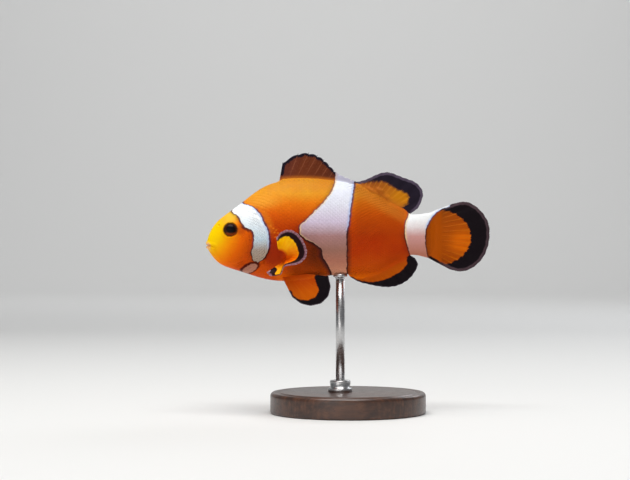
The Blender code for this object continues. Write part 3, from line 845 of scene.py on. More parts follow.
FINS = (
    Fin("dorsal_fin_front", ((-19.4, 14.6), (-13.6, 15.2), (-8.0, 15.0), (-2.9, 14.3), (2.0, 13.2)),
        ((-18.5, 20.8), (-15.3, 22.8), (-11.8, 23.5), (-8.6, 22.7), (-5.4, 20.1), (-2.9, 17.7), (-0.4, 16.5),
         (2.0, 15.5)),
        rays=11, band=((0, 0.8), (0.5, 0.75), (1, 0.4)), rim=0.1, margin_sides=(0.5, 0), root_reach=1.7,
        body_reach=0.1, scallop=0.36, pleat=0.08, ray_thick=0.6, fillet=(0.2, 0.6), spiny=True, lean=0.68,
        keeps_white=True, near_root=(206, 116, 34), ray=(168, 100, 70), web=(84, 36, 20), dark=(26, 20, 32),
        pale=(46, 38, 56), inner=((0.0, (98, 48, 38)), (0.2, (112, 53, 28)), (0.45, (104, 49, 26)),
                                  (0.7, (86, 41, 28)), (1.0, (96, 46, 28)))),
    Fin("dorsal_fin_rear", ((1.9, 13.2), (5.5, 11.9), (9.4, 9.8), (12.9, 7.7), (16.5, 5.8)),
        ((2.2, 15.4), (4.3, 15.8), (8.0, 17.4), (10.9, 18.1), (15.6, 16.6), (18.6, 15.5), (20.6, 13.7),
         (21.2, 12.0), (20.7, 9.8), (19.6, 7.8), (18.2, 6.9)),
        rays=16, band=((0, 0.3), (0.08, 0.4), (0.15, 0.9), (0.22, 1.7), (0.33, 2.6), (0.5, 3.5), (0.62, 3.7),
                       (0.75, 4.0), (0.86, 3.5), (0.94, 2.9), (1, 2.5)),
        rim=0.7, margin_sides=(0, 0.8), body_reach=1.8, fillet=(0.2, 0.7), soft=0.8, near_root=(196, 108, 30),
        ray=(226, 150, 44), web=(164, 84, 14), dark=(34, 27, 40), pale=(90, 78, 96),
        inner=((0.0, (158, 84, 34)), (0.25, (158, 82, 28)), (0.45, (184, 104, 24)), (0.62, (206, 128, 12)),
               (1.0, (204, 126, 10))),
        creases=(((9.0, 12.9), (1.1, 0.42), -25, 0.95), ((10.8, 11.2), (1.2, 0.4), -38, 0.5),
                 ((6.6, 12.9), (1.7, 0.4), -30, 0.45))),
    Fin("anal_fin", ((-0.2, -10.2), (5.5, -9.7), (10.4, -8.1), (16.3, -4.9)),
        ((0.8, -11.7), (3.2, -13.0), (5.4, -13.6), (8.3, -14.2), (13.7, -14.1), (17.2, -12.2), (19.2, -9.6),
         (19.7, -7.8), (18.9, -6.3)),
        rays=14, band=((0, 0.3), (0.11, 0.45), (0.24, 0.75), (0.36, 1.6), (0.47, 2.5), (0.6, 3.2), (0.78, 3.2),
                       (0.9, 3.0), (0.98, 2.6), (1, 0.8)),
        rim=0.2, margin_sides=(0, 0.85), body_reach=2.2, fillet=(0.2, 0.7), ragged=0.4, inner=(190, 84, 0),
        near_root=(184, 74, 0), ray=(202, 96, 4), web=(182, 74, 0), dark=BLACK, pale=(52, 40, 54)),
    Fin("caudal_fin", ((22.8, 6.3), (22.8, 3.0), (22.8, -2.6), (22.8, -6.0)),
        ((29.6, 9.1), (33.4, 9.7), (37.3, 7.4), (39.7, 3.6), (40.0, -0.4), (38.7, -5.2), (35.3, -8.9),
         (32.0, -10.0), (28.8, -9.4)),
        rays=15, oval=((25.5, -0.4), (9.1, 7.7)), side_band=0.5, rim=0.8, margin_sides=(0.6, 0.95),
        root_reach=1.5, body_reach=1.2, scallop=0.14, pleat=0.14, ray_thick=0.54, fillet=(0.26, 0.6),
        keeps_white=True, near_root=TAIL_ORANGE, ray=(214, 116, 10), web=(156, 62, 0), dark=BLACK,
        pale=(82, 64, 70), glow=((33.0, -1.7), (5.2, 4.4), (226, 106, 0)),
        inner=((0.0, (128, 62, 10)), (0.32, (170, 76, 4)), (0.5, TAIL_ORANGE), (0.75, (170, 74, 0)),
               (1.0, (128, 50, 0)))),
    Fin("pelvic_fin", ((-18.6, 2.1, -11.1), (-16.2, 2.5, -10.8), (-13.4, 2.3, -10.6)),
        ((-15.7, 3.9, -17.2), (-13.1, 4.5, -19.0), (-10.0, 4.8, -19.5), (-7.0, 4.6, -18.4), (-5.2, 3.9, -15.7),
         (-5.1, 3.3, -13.2), (-5.6, 2.9, -11.4)),
        rays=7, band=((0, 0.5), (0.2, 1.1), (0.4, 2.0), (0.6, 2.8), (0.8, 3.4), (1, 3.9)), rim=0.16,
        margin_sides=(0.25, 0.0), root_reach=5.0, body_reach=0.02, cup=0.6, scallop=0.16, fillet=(0.12, 0.5),
        ragged=0.5, inner=(206, 94, 0), near_root=(186, 68, 0), ray=(212, 104, 6), web=(196, 82, 0),
        dark=BLACK, pale=(92, 76, 88)),
    Fin("pectoral_fin", ((-19.5, 5.3, -3.8), (-18.3, 5.3, -4.3), (-17.3, 5.3, -5.4), (-17.5, 4.9, -6.6),
                         (-18.5, 4.1, -7.5)),
        ((-20.0, 11.0, -0.4), (-18.4, 12.1, 1.3), (-16.2, 12.7, 1.7), (-13.8, 12.9, 0.3), (-12.0, 13.2, -2.6),
         (-11.7, 13.8, -5.4), (-13.6, 14.5, -7.5), (-16.1, 14.6, -8.1), (-18.0, 14.2, -8.7),
         (-18.7, 13.4, -10.4), (-20.4, 12.4, -11.0), (-22.1, 10.9, -10.9), (-22.8, 10.0, -10.1)),
        rays=17, band=((0, 0.9), (0.09, 1.5), (0.2, 2.1), (0.4, 2.5), (0.55, 2.3), (0.63, 2.0), (0.7, 1.5),
                       (0.76, 0.8), (0.82, 0.2), (0.88, 0.4), (0.93, 1.5), (1, 2.5)),
        rim=0.58, pale_tips=0.5, margin_sides=(0.03, 0.12), root_reach=1.6, rear_reach=9.0, body_reach=0.3,
        cup=2.2, scallop=0.14, pleat=0.08, ray_thick=0.42, ragged=0.4, near_root=(212, 80, 2),
        ray=(255, 214, 24), web=(252, 164, 0), dark=(32, 12, 16), pale=(138, 90, 102),
        # The dark stops at 0.78 to 0.81 are painted shade in the fold between the disc and the lower lobe.
        inner=((0.0, (255, 200, 0)), (0.26, (255, 190, 0)), (0.36, (255, 158, 0)), (0.52, (246, 102, 0)),
               (0.75, (232, 88, 0)), (0.78, (60, 20, 12)), (0.81, (60, 20, 12)), (0.84, (255, 166, 10)),
               (1.0, (255, 180, 20)))),
)


def in_space(points, side):
    """Points of a root or margin in space, mirrored for a paired fin's side."""
    return [(p[0], side * p[1] if len(p) == 3 else 0, p[-1]) for p in points]


def fin_points(fin, side, along, out):
    """Points of a fin's middle surface: the share along its root, and the share out along its rays."""
    root = line_through(in_space(fin.root, side))(along)
    tip = line_through(in_space(fin.tips, side))(along ** fin.lean)
    points = root + (tip - root) * out[..., None]
    ray_fold = np.sin(along * (fin.rays - 1) * math.pi)
    slow_wave = 1.6 * np.sin(along * 9 + out * 2)
    fold = fin.pleat * (ray_fold + slow_wave) * eased(out, 0.1, 0.9)
    points[..., 1] += side * fin.cup * 4 * out * (1 - out) + fold
    for centre, size, tilt, depth in fin.creases:
        points[..., 1] -= depth * hump(from_spot(points, centre, size, tilt), 1)
    return points


def margin_share(fin, along):
    """How far out the membrane reaches. It is hollow between soft rays, and notched behind each spine."""
    root = line_through(in_space(fin.root, 1))(along)
    tip = line_through(in_space(fin.tips, 1))(along ** fin.lean)
    hollow = np.abs(np.sin((along * (fin.rays - 1) - NOTCH_SHIFT * fin.spiny) * math.pi)) ** 0.8
    if fin.spiny:
        hollow = 1 - hollow
    return 1 - fin.scallop * hollow / np.linalg.norm(tip - root, axis=-1)


def over_skin(points):
    """Height of points over the body's surface, below zero inside it."""
    distance = np.clip(points[..., 0] - SNOUT_X, 0.01, BODY_LENGTH)
    widest, above, below = section(distance)
    rise = points[..., 2] - widest
    reach = np.where(rise > 0, above, below)
    up = np.clip(np.abs(rise) / reach, 0, 1)
    flat = np.abs(points[..., 1]) - half_width(distance) * np.sqrt(1 - up * up)
    over = np.where(np.abs(rise) > reach, np.abs(rise) - reach, flat)
    return np.maximum(over, points[..., 0] - SNOUT_X - BODY_LENGTH)


def margin_of(fin, side):
    """Points along a fin's margin, and the share of the margin where each is."""
    along = np.linspace(0, 1, 241)
    front, rear = (np.linspace(1 - share, 1, 30) if share else np.zeros(0) for share in fin.margin_sides)
    rear = rear[::-1]
    shares = np.concatenate((0 * front, along, 0 * rear + 1))
    outs = np.concatenate((front, margin_share(fin, along), rear))
    return fin_points(fin, side, shares, outs), shares


def fin_marks(fin, side, along, out):
    """What a fin's finish goes by: distance from the margin, depth in the dark band, height over the skin, the
    number of the ray, and how far out from 0 to 10."""
    points = fin_points(fin, side, along, out)
    margin, shares = margin_of(fin, side)
    apart = np.linalg.norm(points[:, None] - margin[None], axis=2)
    edge = apart.min(axis=1)
    if fin.oval:
        centre, size = fin.oval
        black = np.maximum((from_spot(points, centre, size) - 1) * sum(size) / 2, fin.side_band - edge)
    else:
        black = (np.interp(shares, *zip(*fin.band)) - apart).max(axis=1)
    return {"edge": edge, "black": black, "over": over_skin(points), "along": along * (fin.rays - 1),
            "out": out * 10}


def fin_web(fin, side):
    """The membrane of a fin as a closed sheet: its points, its faces and where each point is on the fin."""
    columns = (fin.rays - 1) * COLUMNS_A_RAY + 1
    along = np.repeat(np.linspace(0, 1, columns)[:, None], FIN_ROWS, axis=1)
    out = np.linspace(0, 1, FIN_ROWS)[None] ** ROW_CROWDING * margin_share(fin, along)
    middle = fin_points(fin, side, along, out)
    normal = np.cross(np.gradient(middle, axis=0), np.gradient(middle, axis=1))
    normal /= np.linalg.norm(normal, axis=2)[..., None]
    # The membrane thins outwards, swells where it grows out of the skin, and is rounded off all round.
    rows = np.linspace(0, 1, FIN_ROWS)[None]
    half = (WEB_THICK[0] + (WEB_THICK[1] - WEB_THICK[0]) * out) / 2 * np.sqrt(1.02 - rows ** WEB_MARGIN)
    swell = fin.fillet[0] * np.exp(-np.maximum(over_skin(middle), 0) / fin.fillet[1])
    ends = np.sqrt(np.clip(np.minimum(along, 1 - along) * (fin.rays - 1) / 0.35, 0.12, 1))
    half = ((half + swell) * ends)[..., None]
    points = np.concatenate((middle + normal * half, middle - normal * half)).reshape(-1, 3)
    first = np.arange(columns * FIN_ROWS).reshape(columns, FIN_ROWS)
    second = first + first.size
    faces = quads_of(first) + quads_of(second[::-1])
    rim = np.concatenate((first[:, 0], first[-1, 1:], first[-2::-1, -1], first[0, -2:0:-1]))
    after = np.roll(rim, -1)
    faces += np.stack((after, rim, rim + first.size, after + first.size), axis=1).tolist()
    return points, faces, np.tile(along.ravel(), 2), np.tile(out.ravel(), 2)


def ray_lines(fin):
    """Lines of the rays: arrays of the share along the root, the share out, and the thickness. A spine is one
    line, and a soft ray is a stem that forks twice."""
    gap = 1 / (fin.rays - 1)
    for middle in np.arange(fin.rays) * gap:
        if fin.spiny:
            out = np.linspace(0, 1 + 0.25 * TIP_REACH, 16)
            yield middle + 0 * out, out, fin.ray_thick * (1.05 - SPINE_TAPER * out)
            continue
        for first, second in BRANCHES:
            turns = abs(first) + abs(second)
            spread = np.linspace(*BRANCH_REACH[turns], 9)
            aside = (BRANCH_SPREAD[0] * first * eased(spread, 0.40, 1.15)
                     + BRANCH_SPREAD[1] * second * eased(spread, 0.70, 1.1))
            along = np.clip(middle + gap * aside, 0, 1)
            out = np.minimum(spread, margin_share(fin, along) + TIP_REACH / 10)
            yield along, out, fin.ray_thick * (1 - RAY_TAPER * spread) * BRANCH_THICK[turns]


def rays_tree():
    """Turns the loose lines of a fin into jointed rays, and joins them to its membrane."""
    tree, given, result = new_group("fin rays", "GeometryNodeTree", [
        ("Geometry", "Geometry", None), ("Material", "Material", None), ("Joint length", "Float", 0.00025),
        ("Joint pinch", "Float", 0.07), ("Sides", "Int", 6)], [("Geometry", "Geometry")])
    width = named(tree, "width")
    is_line = add("FunctionNodeCompare", {0: width, 1: 0.0}, operation="GREATER_THAN")
    parted = add("GeometryNodeSeparateGeometry", {"Geometry": given["Geometry"], "Selection": is_line})
    web = outputs_of(parted.socket.node)["Inverted"]
    curves = add("GeometryNodeMeshToCurve", {"Mesh": parted})
    even = add("GeometryNodeResampleCurve", {"Curve": curves, "Length": given["Joint length"]}, mode="LENGTH")
    joint = maths("MODULO", add("GeometryNodeInputIndex", {}, 0, tree), 3.0)
    pinched = add("FunctionNodeCompare", {0: joint, 1: 0.5}, operation="LESS_THAN")
    radius = width * maths("SUBTRACT", 0.5, pinched * given["Joint pinch"])
    ring = add("GeometryNodeCurvePrimitiveCircle", {"Resolution": given["Sides"], "Radius": 1.0})
    tubes = add("GeometryNodeCurveToMesh", {"Curve": even, "Profile Curve": ring, "Scale": radius,
                                            "Fill Caps": True})
    whole = add("GeometryNodeJoinGeometry", {0: web})
    put(whole.socket.node.inputs[0], add("GeometryNodeSetShadeSmooth", {"Geometry": tubes}))
    finish_tree(whole, given["Material"], result)
    return tree


def make_fin(fin, side, name, tree, material):
    """A fin: a thin membrane, and over it the rays."""
    points, faces, along, out = fin_web(fin, side)
    widths = [np.zeros(len(points))]
    edges, alongs, outs, count = [], [along], [out], len(points)
    for ray_along, ray_out, thick in ray_lines(fin):
        widths.append(thick * MM)
        alongs.append(ray_along)
        outs.append(ray_out)
        edges += [(count + i, count + i + 1) for i in range(len(ray_out) - 1)]
        count += len(ray_out)
    alongs, outs = np.concatenate(alongs), np.concatenate(outs)
    lines = fin_points(fin, side, alongs[len(points):], outs[len(points):])
    piece = make_mesh(name, np.vstack((points, lines)), faces, material, edges)
    set_values(piece, "width", np.concatenate(widths))
    for label, values in fin_marks(fin, side, alongs, outs).items():
        set_values(piece, label, values)
    grow(piece, tree, Material=material)
    return piece


# ---- scales -------------------------------------------------------------------------------------------------
@dataclass
class Coat:
    """A patch of scales on one side: rows from belly to back, where it starts and stops behind the snout, the
    length of a scale over its height, and how far its free edge is raised."""
    rows: int
    start: float
    stop: float
    length: float
    raised: float


BODY_COAT = Coat(29, 9.0, 63.0, 1.05, 0.019)
HEAD_COAT = Coat(38, 5.5, 20.5, 1.0, 0.017)
COLUMN_STEP = 0.60          # spacing of the columns over the spacing of the rows
SCALE_OVERLAP = (1.25, 1.12)  # length and height of a scale over the spacing of the rows
BARE_ROOT = ((-19.0, -5.0), (3.2, 3.9))     # oval without scales at the pectoral fin's root
BARE_EYE = 3.5              # radius of the bare skin round the eye
BEHIND_GILL, BEFORE_GILL, BESIDE_CHEEK, OVER_THROAT = 0.5, 0.45, 0.38, 0.8      # widths of bare strips
PLATE_GRID = 4
PLATE_ROUND = 0.36          # how far the free edge draws back at its corners
PLATE_TAPER = 0.14          # how much narrower a scale is at its root
PLATE_DROOP = 0.25          # how much lower the corners of the free edge stand
PLATE_UNDER = -0.7          # height of the underside, over that of the free edge
SCALE_SEED = 11


def scale_plate():
    """One scale, with a round free edge that stands up, and a root and an underside that lie in the skin."""
    across, down = np.meshgrid(np.linspace(-1, 1, PLATE_GRID), np.linspace(0, 1, PLATE_GRID))
    x = -0.5 + down * (1 - PLATE_ROUND * across ** 2)
    y = 0.5 * across * (1 - PLATE_TAPER * (1 - down))
    grid = np.arange(PLATE_GRID ** 2).reshape(PLATE_GRID, PLATE_GRID)
    rim = np.concatenate((grid[0], grid[1:, -1], grid[-1, -2::-1], grid[-2:0:-1, 0]))
    under = np.arange(len(rim)) + grid.size
    sides = np.stack((rim, np.roll(rim, -1), np.roll(under, -1), under), axis=1).tolist()
    spots = np.concatenate((grid.ravel(), rim))
    flat = np.stack((x, y, 0 * x), axis=-1).reshape(-1, 3)[spots]
    rise = down * (1 - PLATE_DROOP * across ** 2)
    heights = np.concatenate((rise.ravel(), np.full(len(rim), PLATE_UNDER)))
    faces = quads_of(grid) + sides + [under[::-1].tolist()]
    plate = placed("scale plate", outward_mesh("scale plate", np.column_stack((flat[:, :2], heights)), faces))
    set_values(plate, "height", heights)
    set_values(plate, "tip", down.ravel()[spots])
    set_values(plate, "on_plate", flat)
    return plate


def has_scale(points, coat):
    """Which of the places a coat covers, and how large its scales are there."""
    x, z = points[:, 0], points[:, 2]
    gill = beside(points, GILL_EDGE)[0]
    above_gill = z > GILL_EDGE[0][1]
    if coat is BODY_COAT:
        covered = ((gill > BEHIND_GILL) | above_gill) & (from_spot(points, *BARE_ROOT) > 1)
        nape = eased(x + 0.35 * z, -30.5, -26.0)
        behind_head = eased(x, -28, -18) * 0.25 + 0.75
        return covered & (nape > 0.02), behind_head * (0.55 + 0.45 * nape)
    cheek = beside(points, CHEEK_EDGE)[0]
    covered = (gill < -BEFORE_GILL) & ~above_gill & (np.abs(cheek) > BESIDE_CHEEK)
    covered &= (from_spot(points, EYE_SPOT) > BARE_EYE) & (x > -35.2) & (z > belly(x - SNOUT_X) + OVER_THROAT)
    face = eased(x - 0.3 * z, -35.0, -31.0)
    return covered & (face > 0.1), (0.72 + 0.28 * (cheek > 0)) * (0.4 + 0.6 * face)


def scale_places(coat, side):
    """Places, outward and rearward directions, sizes and root places on the unwrap, for one side's scales."""
    turns = np.linspace(-math.pi / 2, math.pi / 2, 160)
    if side < 0:
        turns = math.pi - turns
    distance, column = coat.start, 0
    found = []
    while distance < coat.stop:
        ring = body_point(distance, turns, -SKIN_DEPTH)
        run = np.concatenate(([0], np.cumsum(np.linalg.norm(np.diff(ring, axis=0), axis=1))))
        pitch = run[-1] / coat.rows
        turn = np.interp((np.arange(coat.rows) + 0.25 + 0.5 * (column % 2)) * pitch, run, turns)
        here = body_point(distance, turn, -SKIN_DEPTH)
        rearward = body_point(distance + 0.2, turn, -SKIN_DEPTH) - here
        outward = np.cross(body_point(distance, turn + 0.01, -SKIN_DEPTH) - here, rearward)
        outward /= np.linalg.norm(outward, axis=1)[:, None]
        length, width = pitch * coat.length * SCALE_OVERLAP[0], pitch * SCALE_OVERLAP[1]
        rest = np.stack((0 * turn + length, 0 * turn + width, 0 * turn + distance / BODY_LENGTH,
                         turn / (2 * math.pi) + 0.25), axis=1)
        found.append(np.hstack((here, outward, rearward, rest)))
        distance += pitch * COLUMN_STEP
        column += 1
    found = np.vstack(found)
    kept, share = has_scale(found[:, :3], coat)
    found[:, 9:11] *= share[:, None]
    return found[kept]


def scales_tree():
    """Sets a plate on every point, lays it on the skin, and gives it its own patch of the unwrap."""
    tree, given, result = new_group("scales", "GeometryNodeTree", [
        ("Geometry", "Geometry", None), ("Plate", "Object", None), ("Skin", "Object", None),
        ("Material", "Material", None), ("Raised", "Float", 0.00005), ("Uneven", "Float", 0.25),
        ("Patch", "Float", 0.003), ("Seed", "Int", SCALE_SEED)], [("Geometry", "Geometry")])
    outward, rearward, size, on_plate, unwrap = (named(tree, label, "FLOAT_VECTOR") for label in (
        "outward", "rearward", "size", "on_plate", "unwrap"))
    spots = add("GeometryNodeMeshToPoints", {"Mesh": given["Geometry"]})
    tone = add("FunctionNodeRandomValue", {2: 0.0, 3: 1.0, "Seed": given["Seed"]}, 1, data_type="FLOAT")
    facing = add("FunctionNodeAxesToRotation", {0: outward, 1: rearward}, primary_axis="Z", secondary_axis="X")
    plate, skin = (add("GeometryNodeObjectInfo", {"Object": given[label]}, "Geometry")
                   for label in ("Plate", "Skin"))
    plates = add("GeometryNodeInstanceOnPoints", {
        "Points": store(spots, "tone", tone), "Instance": plate, "Rotation": facing, "Scale": size})
    whole = add("GeometryNodeRealizeInstances", {"Geometry": plates})
    patch = vector("SCALE", on_plate, given["Patch"])
    whole = store(whole, "OFBake", vector("ADD", unwrap, patch), "FLOAT2", "CORNER")
    place, way = (add("GeometryNodeSampleNearestSurface", {"Mesh": skin, "Value": add(kind, {}, 0, tree)},
                      data_type="FLOAT_VECTOR")
                  for kind in ("GeometryNodeInputPosition", "GeometryNodeInputNormal"))
    uneven = ramp(named(tree, "tone"), 0, 1, 1.0, given["Uneven"] + 1.0, False)
    rise = named(tree, "height") * given["Raised"] * uneven
    laid = add("GeometryNodeSetPosition", {"Geometry": whole,
                                           "Position": vector("ADD", place, vector("SCALE", way, rise))})
    finish_tree(laid, given["Material"], result)
    return tree


def make_scales(name, side, tree, plate, skin, material):
    """One side's coat of scales, as one mesh."""
    parts = []
    for coat in (BODY_COAT, HEAD_COAT):
        found = scale_places(coat, side)
        places = make_mesh(name, found[:, :3], [])
        set_values(places, "outward", found[:, 3:6])
        set_values(places, "rearward", found[:, 6:9])
        set_values(places, "size", np.hstack((found[:, 9:11] * MM, np.full((len(found), 1), MM))))
        set_values(places, "unwrap", np.hstack((found[:, 11:13], np.zeros((len(found), 1)))))
        grow(places, tree, Plate=plate, Skin=skin, Material=material, Raised=coat.raised * MM)
        parts.append(places)
    return joined_pieces(parts)


# ---- eyes ---------------------------------------------------------------------------------------------------
EYE_RINGS = 28
EYE_SIDES = 64
PUPIL_RADIUS = 1.05
IRIS_RADIUS = 1.45
RIM_RADIUS = 1.72
RIM_THICK = 0.14
RIM_WIDER = 1.3             # how much wider than high the rim's section is
RIM_RAISED = 0.03
RIM_SIDES = 12


def make_eye(name, side, material):
    """A ball flattened towards the head, with its poles at the pupil and inside the head."""
    angle, turn = np.arange(1, EYE_RINGS)[:, None] * math.pi / EYE_RINGS, full_turn(EYE_SIDES)
    radius, depth = EYE_RADIUS * np.sin(angle), EYE_RADIUS * EYE_FLATTEN
    ball = np.stack((radius * EYE_STRETCH[0] * np.cos(turn), depth * np.cos(angle) + 0 * turn,
                     radius * EYE_STRETCH[1] * np.sin(turn)), axis=-1).reshape(-1, 3)
    points = (np.vstack((ball, (0, depth, 0), (0, -depth, 0))) + EYE_CENTRE) * (1, side, 1)
    rings = np.arange(len(ball)).reshape(-1, EYE_SIDES)
    faces = ring_faces(rings)
    for pole, ring in enumerate((rings[0], rings[-1][::-1]), len(ball)):
        faces += [(pole, int(a), int(b)) for a, b in zip(ring, np.roll(ring, -1))]
    return make_mesh(name, points, faces, material)


def make_eye_rim(name, side, material):
    """The soft ring of skin that holds an eye."""
    turn, angle = full_turn(EYE_SIDES)[:, None], full_turn(RIM_SIDES)
    x = EYE_CENTRE[0] + RIM_RADIUS * EYE_STRETCH[0] * np.cos(turn)
    z = EYE_CENTRE[2] + RIM_RADIUS * EYE_STRETCH[1] * np.sin(turn)
    y = side_of_body(x, z) - SKIN_DEPTH + RIM_RAISED + RIM_THICK * np.sin(angle)
    outwards = RIM_THICK * RIM_WIDER * np.cos(angle)
    points = np.stack((x + outwards * np.cos(turn), side * y, z + outwards * np.sin(turn)), axis=-1)
    rings = np.arange(EYE_SIDES * RIM_SIDES).reshape(EYE_SIDES, RIM_SIDES)
    return make_mesh(name, points.reshape(-1, 3), ring_faces(np.vstack((rings, rings[:1]))), material)


# ---- stand --------------------------------------------------------------------------------------------------
STAND_SIDES = 128
ROD_SIDES = 64
FOOT_BEVEL = 1.2
PAD_RADIUS = 2.0


def span_of(low, high):
    """The middle of a solid along the fish, and its half length, in millimetres."""
    return ((low.x + high.x) / 2 - AXIS[0]) / MM, (high.x - low.x) / 2 / MM


def turned(name, centre_x, profile, material, sides=STAND_SIDES):
    """A piece turned on a lathe about an upright axis, from (radius, height over the floor) points."""
    radius, height = (np.array(values)[:, None] for values in zip(*profile))
    turn = full_turn(sides)
    height = height - AXIS[2] / MM + 0 * turn
    points = np.stack((centre_x + radius * np.cos(turn), radius * np.sin(turn), height), axis=-1)
    rings = np.arange(height.size).reshape(-1, sides)
    faces = ring_faces(rings) + [rings[0].tolist(), rings[-1][::-1].tolist()]
    return make_mesh(name, points.reshape(-1, 3), faces, material)


def arc(centre, radius, start, stop, steps=6):
    """Profile points round a corner, between two angles in degrees."""
    angles = [math.radians(start + (stop - start) * i / steps) for i in range(steps + 1)]
    return [(centre[0] + radius * math.cos(a), centre[1] + radius * math.sin(a)) for a in angles]


def make_stand(wood, steel):
    """The foot, the collar on it, and the rod with a pad under the belly."""
    foot_x, radius = span_of(foot_low, foot_high)
    rod_x, rod_radius = span_of(rod_low, rod_high)
    top = foot_high.z / MM
    profile = [(0.4, 0.0), *arc((radius - 0.6, 0.6), 0.6, -90, 0),
               *arc((radius - FOOT_BEVEL, top - FOOT_BEVEL), FOOT_BEVEL, 0, 62),
               (radius - 2.0, top - 0.42), (radius - 2.2, top - 0.36),
               *arc((radius - 3.4, top - 0.9), 0.9, 40, 90), (0.4, top)]
    finished(turned("foot", foot_x, profile, wood), "stand_wood", "stand_base")

    radius = span_of(collar_low, collar_high)[1]
    low, high = top - 0.1, collar_high.z / MM
    profile = [(0.3, low), (radius, low), (radius, low + 0.7),
               *arc((radius - 0.25, low + 0.95), 0.25, 0, 90, 3), (radius - 0.7, low + 1.2),
               *arc((radius - 0.95, high - 0.5), 0.5, 0, 90, 5), (0.3, high)]
    finished(turned("collar", rod_x, profile, steel), "stand_steel", "stand_collar")

    belly_height = float(belly(rod_x - SNOUT_X)) + AXIS[2] / MM
    profile = [(rod_radius, high - 0.3), (rod_radius, belly_height + 0.4)]
    finished(turned("rod", rod_x, profile, steel, ROD_SIDES), "stand_steel", "stand_rod")
    low = belly_height - 0.5
    profile = [(rod_radius + 0.02, low - 0.7), (rod_radius + 0.1, low - 0.45), (rod_radius + 0.3, low - 0.2),
               *arc((PAD_RADIUS - 0.15, low + 0.1), 0.15, -80, 0, 4), (PAD_RADIUS, belly_height + 0.3)]
    finished(turned("stand_pad", rod_x, profile, steel, ROD_SIDES), "stand_steel")


# ---- materials ----------------------------------------------------------------------------------------------
def skin_finish(markings):
    """Moist skin with the body's markings and a fine grain."""
    material, tree, shader = new_material("fish skin", 0.45, Specular_IOR_Level=0.06)
    marks = use_group(tree, markings)
    grain = noise(marks["Place"], 5.0, 3.0)
    value = ramp(ramp(grain, 0.3, 0.75), 0, 1, 0.97, 1.02)
    colour = add("ShaderNodeHueSaturation", {"Color": marks["Color"], "Value": value})
    connect(shader, Base_Color=colour, Roughness=ramp(grain, 0.2, 0.8, 0.36, 0.5), Normal=bump(grain, 0.25))
    return material


def scale_finish(markings):
    """Scales: the skin's markings, a slightly paler free edge, and each scale a little lighter or darker."""
    material, tree, shader = new_material("scales", 0.45, Specular_IOR_Level=0.06)
    tone = stored(tree, "tone")
    value = ramp(stored(tree, "tip"), 0.2, 0.95, 0.985, 1.005) + ramp(tone, 0, 1, -0.02, 0.025)
    marks = use_group(tree, markings)
    colour = add("ShaderNodeHueSaturation", {"Color": marks["Color"], "Value": value})
    connect(shader, Base_Color=colour, Roughness=ramp(tone, 0, 1, 0.40, 0.52))
    return material


def build_fin_marks():
    """Colour of a fin: its own, then the dark band with a ragged inner edge, then the pale rim."""
    colours = [(name, "Color", (0.5, 0.5, 0.5, 1)) for name in (
        "Inner", "Near root", "Dark", "Pale", "Ray", "Web", "Body")]
    numbers = [(name, "Float", value) for name, value in (
        ("Rim", 0.5), ("Body white", 0.0), ("Body reach", 0.5), ("Root reach", 4.0), ("Veil", 0.0),
        ("Soft", 0.12), ("Ragged", 1.0), ("Pale tips", 0.0))]
    tree, given, result = new_group("fin markings", "ShaderNodeTree", colours + numbers + [
        ("Place", "Vector", None)], [("Color", "Color"), ("Height", "Float")])
    along, out, edge, black, over, width = (stored(tree, label) for label in (
        "along", "out", "edge", "black", "over", "width"))
    on_ray = ramp(width, 0.00001, 0.00008)
    near_ray = maths("COSINE", along * (2 * math.pi))
    fine = maths("COSINE", along * (8 * math.pi))
    streak = noise(add("ShaderNodeCombineXYZ", {"X": along * 5.0, "Y": out}), 1.3, 2.0)
    ragged = (noise(given["Place"], 1.5, 3.0) - 0.5) * given["Ragged"]

    inner = blended(ramp(over, 0.0, given["Root reach"]), given["Near root"], given["Inner"])
    lit = maths("MAXIMUM", on_ray, ramp(streak, 0.5, 0.75, 0, 0.45)) * ramp(out, 1.5, 8.0, 0.05, 0.6)
    inner = blended(lit, inner, given["Ray"])
    shaded = ramp(near_ray, 0.2, -1.0) * ramp(out, 2.0, 7.0, 0, 0.3) + fine * ramp(out, 3.0, 8.0, 0, 0.14)
    inner = blended(shaded, inner, given["Web"])
    veiled = blended(ramp(over, 0.1, 1.2, 0, given["Veil"]), given["Body"], (150, 138, 168))
    inner = blended(ramp(over, given["Body reach"], 0.0), inner, veiled)

    teeth = fine * 0.09 + near_ray * 0.1
    depth = black + ragged * 0.9 - teeth * given["Ragged"]
    colour = blended(ramp(depth, given["Soft"] * -1.0, 0.2), inner, given["Dark"])
    rim = ramp(given["Rim"] - edge + ragged * 0.35, -0.2, 0.15) * ramp(out, 3.0, 8.0)
    colour = blended(rim * 0.85, colour, given["Pale"])
    colour = blended(rim * on_ray * given["Pale tips"], colour, (226, 200, 208))
    put(result["Color"], blended(given["Body white"], colour, veiled))
    put(result["Height"], streak + on_ray)
    return tree


